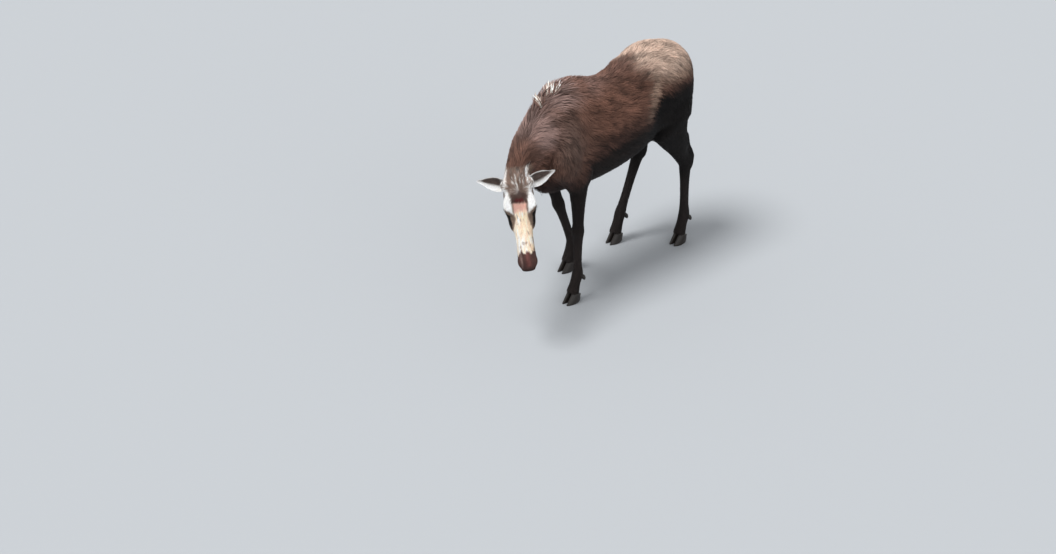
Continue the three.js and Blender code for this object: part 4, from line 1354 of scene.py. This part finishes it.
def comb(locks):
    """Turns each lock from the line of its limb to the way that hair really runs, and bleaches the fan."""
    at, normal, lie = locks["at"], locks["normal"], locks["lie"].copy()
    place = in_head(at)
    on_face = step(place[:, 0], -20, 20) * (np.abs(place[:, 1:]).max(axis=1) < FACE_REACH)
    on_face = on_face * ~locks["ear"] * ~locks["bell"]
    lie = lie + (face_lie(place) - lie) * on_face[:, None]
    on_trunk = (1 - on_face) * (at[:, 2] > 850) * ~locks["ear"]
    flank = 0.55 * np.abs(normal[:, 0]) + 1.4 * np.clip(normal[:, 1], 0, 1)
    lie = lie - UP * (on_trunk * flank)[:, None]
    fan, rays, outward = hump_fan(at)
    locks["color"] = layered(locks["color"], (FAN_PALE, rays))
    lie = lie + (outward * 2.5 - lie) * fan[:, None]
    wave = (noise(at, 110, 12) - 0.5) * (1 - fan)
    lie = unit(lie) + np.cross(normal, unit(lie)) * (0.9 * wave + random.normal(0, 0.09, len(at)))[:, None]
    return unit(lie - normal * (lie * normal).sum(axis=1, keepdims=True)), fan


locks["lie"], locks["fan"] = comb(locks)

# %% Clumps of locks
CLUMP_LENGTH = 2.2  # in lengths of a lock
CLUMP_WIDTH = 5.5  # in widths of a lock
CLUMP_SLANT = 0.45  # how the clumps lean down the flank


def clumps(locks):
    """For each lock: how many mm aside its clump's middle is, how near the edge, and the clump's tone."""
    along, turn, out = locks["flat"].T
    coat = np.maximum(np.round(locks["coat"] / 6) * 6, 3)
    length, width = CLUMP_LENGTH * lock_length(coat), CLUMP_WIDTH * lock_width(coat)
    around = turn * np.round(np.clip(out, 40, 400) / 40) * 40
    slant = CLUMP_SLANT * np.sign(turn) * (coat > LONG_COAT)
    flat_at = np.stack([(along + slant * around) / length, (around - slant * along) / width], axis=1)
    base = np.floor(flat_at).astype(int)
    best = np.full(len(along), 9.0)
    aside, tone = np.zeros((2, len(along)))
    for i, j in np.ndindex(3, 3):
        cell = base + (i - 1, j - 1)
        place = tuple((cell % LATTICE_SIZE).T)
        jitter = [LATTICE[place + (n + coat.astype(int) % 16,)] for n in (0, 9, 15)]
        off = cell + np.stack(jitter[:2], axis=1) - flat_at
        far = np.hypot(off[:, 0] * 0.7, off[:, 1])
        closer = far < best
        best[closer] = far[closer]
        aside[closer] = (off[:, 1] * width)[closer]
        tone[closer] = jitter[2][closer]
    return aside, best, tone


locks["aside"], locks["edge"], locks["tone"] = clumps(locks)

# %% [markdown]
# ## The coat: the locks themselves
# A lock starts just under the skin, lifts to the full depth of the coat and comes to a point. We let its
# points follow the field, so that it lies round the body and its tip ends where the outside of the coat
# is. Long locks have a ridge down the middle, which catches light as a real one does, and short ones are
# flat.
# %% Build locks
LONG_SHAPE = {"rings": (0.0, 0.34, 0.7), "across": (-1.0, 0.0, 1.0), "wide": (0.8, 1.0, 0.66)}
SHORT_SHAPE = {"rings": (0.0, 0.5), "across": (-1.0, 1.0), "wide": (0.9, 0.8)}
PATCH_SIZE = 0.003  # of the layout, for each lock


def lock_faces(shape):
    """The triangles of one lock: strips between its rings, and a point at the end."""
    wide, rings = len(shape["across"]), len(shape["rings"])
    faces = []
    for ring in range(rings - 1):
        for n in range(wide - 1):
            a = ring * wide + n
            faces += [(a, a + 1, a + wide), (a + 1, a + wide + 1, a + wide)]
    tip = rings * wide
    faces += [(tip - wide + n, tip - wide + n + 1, tip) for n in range(wide - 1)]
    return np.array(faces)


def surface(points):
    """How far points are outside the skin, the way out there, and the depth of the coat."""
    here, around = skin_at(points)
    slope = [skin_at(points + 2 * axis)[0] - here for axis in np.eye(3)]
    return here, unit(np.stack(slope, axis=1)), around[:, 3]


# %% Walk the locks over the skin
def build_locks(chosen, shape):
    """Walks each lock's middle line over the skin, rising from the root to the top of the coat."""
    own = {key: values[chosen] for key, values in locks.items()}
    count = len(own["at"])
    coat, out, way = own["coat"], own["normal"], own["lie"]
    length = lock_length(coat) * random.uniform(0.7, 1.25, count)
    length = length * (0.85 + 0.3 * own["tone"]) * (1 - 0.3 * own["fan"])
    width = lock_width(coat) * random.uniform(0.75, 1.25, count)
    depth = coat * random.uniform(0.75, 1.0, count) * (0.86 + 0.14 * own["tone"])
    to_clump = np.clip(own["aside"], -1.5 * width, 1.5 * width) * (coat > LONG_COAT)
    bend = random.normal(0, 0.10, count) * length + 0.55 * to_clump
    roll = random.normal(0, 0.28, count)[:, None]
    ground, before = own["at"], 0
    rings = []
    for share, wide in zip((*shape["rings"], 1.0), (*shape["wide"], 0.0)):
        if share > 0:
            reach = length * (share - before)
            ground = ground + way * reach[:, None]
            height, out_there, coat_there = in_batches(surface, ground)
            height = np.where(own["ear"], 0, np.clip(height, -1.5 * coat - 6, 0.25 * reach + 1))
            out = np.where(own["ear"][:, None], out, out_there)
            depth = np.where(own["ear"], depth, np.minimum(depth, 1.1 * coat_there))
            ground = ground - out * height[:, None]
            way = unit(way - 0.75 * out * (way * out).sum(axis=1, keepdims=True))
        before = share
        side = unit(np.cross(out, way))
        lift = depth * (1 - (1 - share) ** 1.7) - (share == 0) * (0.08 * coat + 0.6)
        centre = ground + out * lift[:, None] + side * (bend * share**2)[:, None]
        blade_side = side * np.cos(roll) + out * np.sin(roll)
        blade_out = out * np.cos(roll) - side * np.sin(roll)
        for across in shape["across"] if share < 1 else (0.0,):
            edge = blade_side * (across * wide * width / 2)[:, None]
            drop = blade_out * (0.3 * abs(across) * wide * width * (len(shape["across"]) > 2))[:, None]
            rings.append(centre + edge - drop)
    return np.stack(rings, axis=1), own, length, width


# %% Paint the locks
def paint_locks(own, shape):
    """Painted shade at the root and between clumps, lighter tips, and a tone for each clump and each lock.
    """
    count = len(own["at"])
    tone = 0.60 + 0.72 * own["tone"] + random.normal(0, 0.10, count)
    long = own["coat"] > LONG_COAT
    # painted shadow: long locks darken towards the edge of their clump, where the clumps shade each other
    tone = np.where(long, tone * (1.12 - 0.55 * step(own["edge"], 0.35, 0.75)), 0.5 + 0.5 * tone)
    bright = own["color"].mean(axis=1).clip(0, 0.8) / 0.8
    tone = tone + np.where(long, 0.85 * (noise(own["at"], 34, 21) - 0.5), 0)
    tone = tone + 0.5 * bright * (1 - tone)
    root_shade = np.where(long, 0.5, 0.75) + 0.35 * bright * np.where(long, 1, 0.5)
    rows = []
    for share in (*shape["rings"], 1.0):
        shade_there = root_shade + (1 - root_shade) * step(share, 0.0, 0.4) + 0.13 * share
        rows += [own["color"] * (tone * shade_there)[:, None]] * (len(shape["across"]) if share < 1 else 1)
    return np.stack(rows, axis=1).clip(0, 0.96)


# %% Put the locks of a region in one mesh
def lock_mesh(chosen, shape):
    lock_points, own, length, width = build_locks(chosen, shape)
    faces = lock_faces(shape)
    count, per_lock = lock_points.shape[:2]
    along = np.array([s for s in shape["rings"] for _ in shape["across"]] + [1.0])
    across = np.array([*shape["across"]] * len(shape["rings"]) + [0.0]) / 2
    strand = np.stack(
        [
            np.outer(width, across),
            np.outer(length * 0.05, along),
            np.repeat(random.uniform(0, 900, (count, 1)), per_lock, axis=1),
        ],
        axis=2,
    )
    patch = own["layout"][:, None] + PATCH_SIZE * np.stack([along - 0.5, across], axis=1)
    index = np.arange(count)[:, None, None] * per_lock + faces
    return {
        "points": lock_points.reshape(-1, 3),
        "faces": index.reshape(-1, 3),
        "layout": patch[:, faces].reshape(-1, 2),
        "marking": with_alpha(paint_locks(own, shape).reshape(-1, 3)),
        "strand": strand.reshape(-1, 3),
    }


def coat_piece(name, chosen, material):
    """All locks of one region as one mesh: the long ones, and then the short ones."""
    long = locks["coat"] > LONG_COAT
    kinds = ((long, LONG_SHAPE), (~long, SHORT_SHAPE))
    batches = [lock_mesh(np.flatnonzero(chosen & kind), shape) for kind, shape in kinds]
    batches[1]["faces"] = batches[1]["faces"] + len(batches[0]["points"])
    whole = {key: np.concatenate([batch[key] for batch in batches]) for key in batches[0]}
    piece = mesh_object(
        name, to_model(whole["points"]), whole["faces"], material, whole["layout"],
        marking=whole["marking"], strand=whole["strand"],
    )
    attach(piece, "root")
    print(name, len(whole["faces"]), "triangles")


# %% Lay the coat
coat_hair = grained_material(
    "coat_hair", 0.7, ("Noise", {"Scale": 1.1, "Detail": 3}), (0.55, 1.45), bump=(0.6, 0.0015),
    follows="strand", sheen=0.06, specular=0.2,
)
at = locks["at"]
on_leg = np.isin(hide_of(at), (1, 2, 3, 4)) & (at[:, 2] < 1010)
on_head = (in_head(at)[:, 0] > -10) & (np.abs(in_head(at)[:, 1:]).max(axis=1) < 200) | locks["bell"]
regions = {
    "coat_legs_front": on_leg & (at[:, 1] < 150),
    "coat_legs_hind": on_leg & (at[:, 1] >= 150),
    "coat_ears": locks["ear"],
    "coat_head": on_head & ~locks["ear"],
}
on_body = ~np.any(list(regions.values()), axis=0)
BODY_BANDS = {  # from where to where along the body
    "neck": (-1400, -620),
    "shoulder": (-620, -340),
    "ribs": (-340, 60),
    "flank": (60, 380),
    "rump": (380, 1000),
}
for word, (front, back) in BODY_BANDS.items():
    band = on_body & (at[:, 1] >= front) & (at[:, 1] < back)
    regions[f"coat_{word}_left"] = band & (at[:, 0] >= 0)
    regions[f"coat_{word}_right"] = band & (at[:, 0] < 0)
for name, chosen in regions.items():
    coat_piece(name, chosen, coat_hair)

# %% [markdown]
# ## Eyes and lids
# A moose's eye is as big as a golf ball and looks out to the side. The globe is a smooth ball with a
# bulging clear front, dark brown round a wide level pupil. The lids are a thick almond-shaped rim of bare
# black skin that lies on the globe and sinks into the face, with lashes on the upper one.
# %% Eyes
GLOBE_RADIUS = 19.0
GLOBE_SINK = 8.5  # how far the globe sits further in than the solid eye
GLOBE_RINGS = 34
GLOBE_SIDES = 48
PUPIL = (8.5, 4.6)  # half sizes, along the face and across it
IRIS = 13.0
LID_HALF = (17.0, 10.5)
LID_PROFILE = [  # how far out from the edge of the opening, and how far above the globe
    (1.0, -0.8),
    (1.0, 0.8),
    (1.07, 1.7),
    (1.25, 1.5),
    (1.45, -0.4),
    (1.65, -4.0),
    (1.9, -11.0),
]


def full_turn(count):
    return np.arange(count) * 2 * pi / count


def eye_frame(side):
    """The globe's centre, the way it looks, and the directions of its inner corner and of its upper lid."""
    look = unit(FACE_LEFT * side * 0.9 + FACE_UP * 0.14 + ALONG * 0.28)
    corner = unit(ALONG - look * (ALONG @ look))
    lid = np.cross(look, corner)
    lid = lid * np.sign(lid @ FACE_UP)
    centre = head_point(EYE_PLACE[0], side * EYE_PLACE[1], EYE_PLACE[2]) - look * GLOBE_SINK
    return centre, look, corner, lid


def on_globe(eye, turn_from_look, around, radius):
    """Points at an angle from the way the eye looks, and a turn around it."""
    centre, look, corner, lid = eye
    sideways = corner * np.cos(around)[..., None] + lid * np.sin(around)[..., None]
    out = look * np.cos(turn_from_look)[..., None] + sideways * np.sin(turn_from_look)[..., None]
    return centre + out * np.asarray(radius)[..., None]


wet_eye = grained_material("eye_wet", 0.05, ("Noise", {"Scale": 900}), (0.6, 1.4), specular=0.12)
eye_shader = wet_eye.node_tree.nodes["Principled BSDF"]
eye_shader.inputs["Coat Weight"].default_value = 0.4
eye_shader.inputs["Coat Roughness"].default_value = 0.02
for side, name in ((1, "eye_left"), (-1, "eye_right")):
    eye = eye_frame(side)
    turn, around = np.meshgrid(np.linspace(0.01, 2.2, GLOBE_RINGS), full_turn(GLOBE_SIDES), indexing="ij")
    bulge = 1.6 * (1 - step(turn, 0.3, 0.75))
    globe = on_globe(eye, turn, around, GLOBE_RADIUS + bulge).reshape(-1, 3)
    reach = GLOBE_RADIUS * turn.ravel()
    around = around.ravel()
    oval = np.hypot(reach * np.cos(around) / PUPIL[0], reach * np.sin(around) / PUPIL[1])
    colors = layered(
        (0.026, 0.012, 0.007),  # iris
        ((0.008, 0.005, 0.004), step(reach, IRIS - 6, IRIS)),
        ((0.002, 0.002, 0.003), 1 - step(oval, 0.85, 1.05)),
    )
    faces = ring_faces(GLOBE_RINGS, GLOBE_SIDES)[:, ::side]
    ball = mesh_object(f"{name}_globe", to_model(globe), faces, wet_eye, marking=with_alpha(colors))
    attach(ball, "root")
    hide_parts(name)

# %% Lids and lashes
LID_SIDES = 64
LASHES = 30
LASH_LENGTH = 12.0
LASH_RADIUS = 0.45


def wrinkled(name, color, roughness, scale):
    grain = ("Voronoi", {"Scale": scale})
    return grained_material(name, roughness, grain, (0.7, 1.5), bump=(0.5, 0.0008), color=color)


def lid_edge(turn):
    """Places on the edge of the lids: the angle from the way that the eye looks, and the turn around it."""
    across = LID_HALF[0] * np.cos(turn)
    above = LID_HALF[1] * np.sign(np.sin(turn)) * np.abs(np.sin(turn)) ** 1.25
    return np.hypot(across, above) / GLOBE_RADIUS, np.arctan2(above, across)


# %% Hairs of the lashes
def tapered_hair(start, direction, sag, length, radius):
    """A thin three-sided hair with a bend: three rings and a point."""
    side = unit(np.cross(direction, sag))
    out = np.cross(side, direction)
    rings = []
    for share in (0.0, 0.4, 0.75):
        middle = start + direction * length * share + sag * length * share**2 * 0.5
        for turn in (0, 2 * pi / 3, 4 * pi / 3):
            rings.append(middle + (side * cos(turn) + out * sin(turn)) * radius * (1 - 0.7 * share))
    rings.append(start + direction * length + sag * length * 0.5)
    return rings


hair_quads = ring_faces(3, 3)
hair_tip = [(6, 7, 9), (7, 8, 9), (8, 6, 9)]
HAIR_FACES = np.vstack([hair_quads[:, (0, 1, 3)], hair_quads[:, (1, 2, 3)], hair_tip])
lid_skin = wrinkled("lid_skin", (0.016, 0.011, 0.009), 0.42, 380)
dark_hair = wrinkled("dark_hair", (0.012, 0.008, 0.007), 0.5, 60)
for side, name in ((1, "left"), (-1, "right")):
    eye = eye_frame(side)
    _, look, corner, lid = eye
    wide, where = lid_edge(full_turn(LID_SIDES))
    rings = [
        on_globe(eye, np.minimum(wide * spread, 1.9), where, GLOBE_RADIUS + 1.0 + rise)
        for spread, rise in LID_PROFILE
    ]
    faces = ring_faces(len(LID_PROFILE), LID_SIDES)[:, ::side]
    rim = mesh_object(f"eyelids_{name}", to_model(np.concatenate(rings)), faces, lid_skin)
    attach(rim, "root")
    lash_points, lash_faces = [], []
    for n in range(LASHES):
        turn = pi * (0.12 + 0.76 * (n + random.uniform(-0.3, 0.3)) / LASHES)
        wide, where = lid_edge(turn)
        start = on_globe(eye, 1.05 * wide, where, GLOBE_RADIUS + 3.0)
        direction = unit(look - lid * 0.1 + corner * 0.5 * cos(turn))
        sag = unit(0.3 * look - lid)
        length = LASH_LENGTH * random.uniform(0.8, 1.1)
        lash_faces.extend(HAIR_FACES + len(lash_points))
        lash_points += tapered_hair(start, direction, sag, length, LASH_RADIUS)
    lashes = mesh_object(f"lashes_{name}", to_model(lash_points), lash_faces, dark_hair)
    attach(lashes, "root")

# %% [markdown]
# ## Hooves and dewclaws
# Each foot stands on two long pointed claws, and two dewclaws hang behind the fetlock. They are of dark
# horn that grows down in rings, so they are rings of points from the ground up, with the growth lines in
# the bump.
# %% Horn
HOOF_LENGTH = {"fore": 134, "hind": 124}
HOOF_HALF_WIDTH = 24
HOOF_CLEFT = 4
HOOF_SIDES = 36
HOOF_LEVELS = (0, 6, 40, 110)  # mm above the ground, where the outline of a claw is given
HOOF_SHARES = [0, 0.02, 0.07, 0.15, 0.28, 0.42, 0.56, 0.7, 0.85, 1.0]  # of the wall, from the ground up
DEWCLAW_TIP = (24, 56, -64)  # from the fetlock: aside, behind and up
DEWCLAW_LEAN = radians(118)
DEWCLAW_SIDES = 24
DEWCLAW_RADII = (1.4, 4.6, 8.8, 13.6, 15.8, 14.6, 10.0, 4.0)
DEWCLAW_DISTANCES = (0.8, 3.5, 10.0, 20.0, 34.0, 46.0, 56.0, 63.0)  # from the tip, for each radius


def horn_material():
    material, nodes, links, shader = node_material("hoof_horn", 0.36, 0.0, 0.45)
    growth = read_attribute(nodes, "growth")
    rings = nodes.new("ShaderNodeTexWave")
    rings.inputs["Scale"].default_value = 75
    rings.inputs["Distortion"].default_value = 1.2
    rings.inputs["Detail"].default_value = 2
    links.new(growth.outputs["Vector"], rings.inputs["Vector"])
    ramp = nodes.new("ShaderNodeValToRGB")
    ramp.color_ramp.elements[0].color = (0.018, 0.014, 0.011, 1)
    ramp.color_ramp.elements[1].color = (0.025, 0.019, 0.016, 1)
    links.new(rings.outputs["Fac"], ramp.inputs["Fac"])
    links.new(ramp.outputs["Color"], shader.inputs["Base Color"])
    add_bump(nodes, links, shader, rings.outputs["Fac"], 0.14, 0.0006)
    return material


def capped(rings, levels):
    """Closes a stack of rings with a point at the middle of each end. Also how far along each point is."""
    sides = len(rings[0])
    points = np.concatenate([*rings, [np.mean(rings[0], axis=0), np.mean(rings[-1], axis=0)]])
    low, high = len(points) - 2, len(points) - 1
    last = sides * (len(rings) - 1)
    ends = [(low, (n + 1) % sides, n) for n in range(sides)]
    ends += [(high, last + n, last + (n + 1) % sides) for n in range(sides)]
    far = np.append(np.repeat(levels, sides), (levels[0], levels[-1]))
    growth = np.column_stack([far * MM, points[:, :2] * MM * 0.3])
    return points, np.vstack([halved(ring_faces(len(rings), sides)), ends]), growth


# %% Claws and dewclaws
def claw(name, side):
    """One claw: each ring is at a share of the way up the wall, which ends at the sloping coronet."""
    x, y, _ = LEG_JOINTS[name][3]
    half = HOOF_LENGTH[leg_pair(name)] / 2
    turn = full_turn(HOOF_SIDES)
    ahead = np.cos(turn)
    front = np.maximum(ahead, 0)

    def wall(height):
        length = np.interp(height, HOOF_LEVELS, (half - 3, half, half * 0.82, half * 0.52))
        return y - 22 + height * 34 / CORONET_HEIGHT - length * ahead

    top = np.full(HOOF_SIDES, float(CORONET_HEIGHT))
    for _ in range(12):
        top = CORONET_HEIGHT - (wall(top) - y) * tan(CORONET_SLOPE)
    rings = []
    for share in HOOF_SHARES:
        height = top * share
        width = np.interp(height, HOOF_LEVELS, np.array([-2, 0, 0, -2]) + HOOF_HALF_WIDTH)
        middle = side * (HOOF_HALF_WIDTH + HOOF_CLEFT / 2 - 5 * front**2)
        across = middle + width * (1 - 0.42 * front**1.5) * np.sin(turn)
        rings.append(np.column_stack([x + across, wall(height), height]))
    return capped(rings, np.array(HOOF_SHARES) * CORONET_HEIGHT)


def dewclaw(name, side):
    tip = np.array(LEG_JOINTS[name][2]) + (side * DEWCLAW_TIP[0], *DEWCLAW_TIP[1:])
    inward = np.array([0, cos(DEWCLAW_LEAN), sin(DEWCLAW_LEAN)])
    turn = full_turn(DEWCLAW_SIDES)
    circle = np.outer(np.cos(turn), (1, 0, 0)) + np.outer(np.sin(turn), np.cross(inward, (1, 0, 0)))
    rings = [tip + inward * far + circle * radius for far, radius in zip(DEWCLAW_DISTANCES, DEWCLAW_RADII)]
    return capped(rings, DEWCLAW_DISTANCES)


# %% Put the horn on the feet
def turned_out(points, faces):
    """Turns all faces of a closed piece round if its first one looks inwards."""
    a, b, c = points[faces[0]]
    outwards = (a + b + c) / 3 - points.mean(axis=0)
    return faces[:, ::-1] if outwards @ np.cross(b - a, c - a) < 0 else faces


horn = horn_material()
for name, joints in LEG_JOINTS.items():
    outwards = 1 if joints[0][0] > 0 else -1
    for word, side in (("outer", outwards), ("inner", -outwards)):
        for kind, build in (("hoof", claw), ("dewclaw", dewclaw)):
            horn_points, horn_faces, growth = build(name, side)
            horn_faces = turned_out(horn_points, horn_faces)
            node = f"{name}_{kind}_{word}"
            piece = mesh_object(f"{node}_horn", to_model(horn_points), horn_faces, horn, growth=growth)
            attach(piece, "root")
            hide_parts(f"{name}_{kind}_{word}")

# %% [markdown]
# ## Check the size and hand over
# Solids collide in the finished animal's place, so she may reach past them only by the tips of some locks.
# We write both boxes down to compare them.
# %% Both boxes, and the end
import json
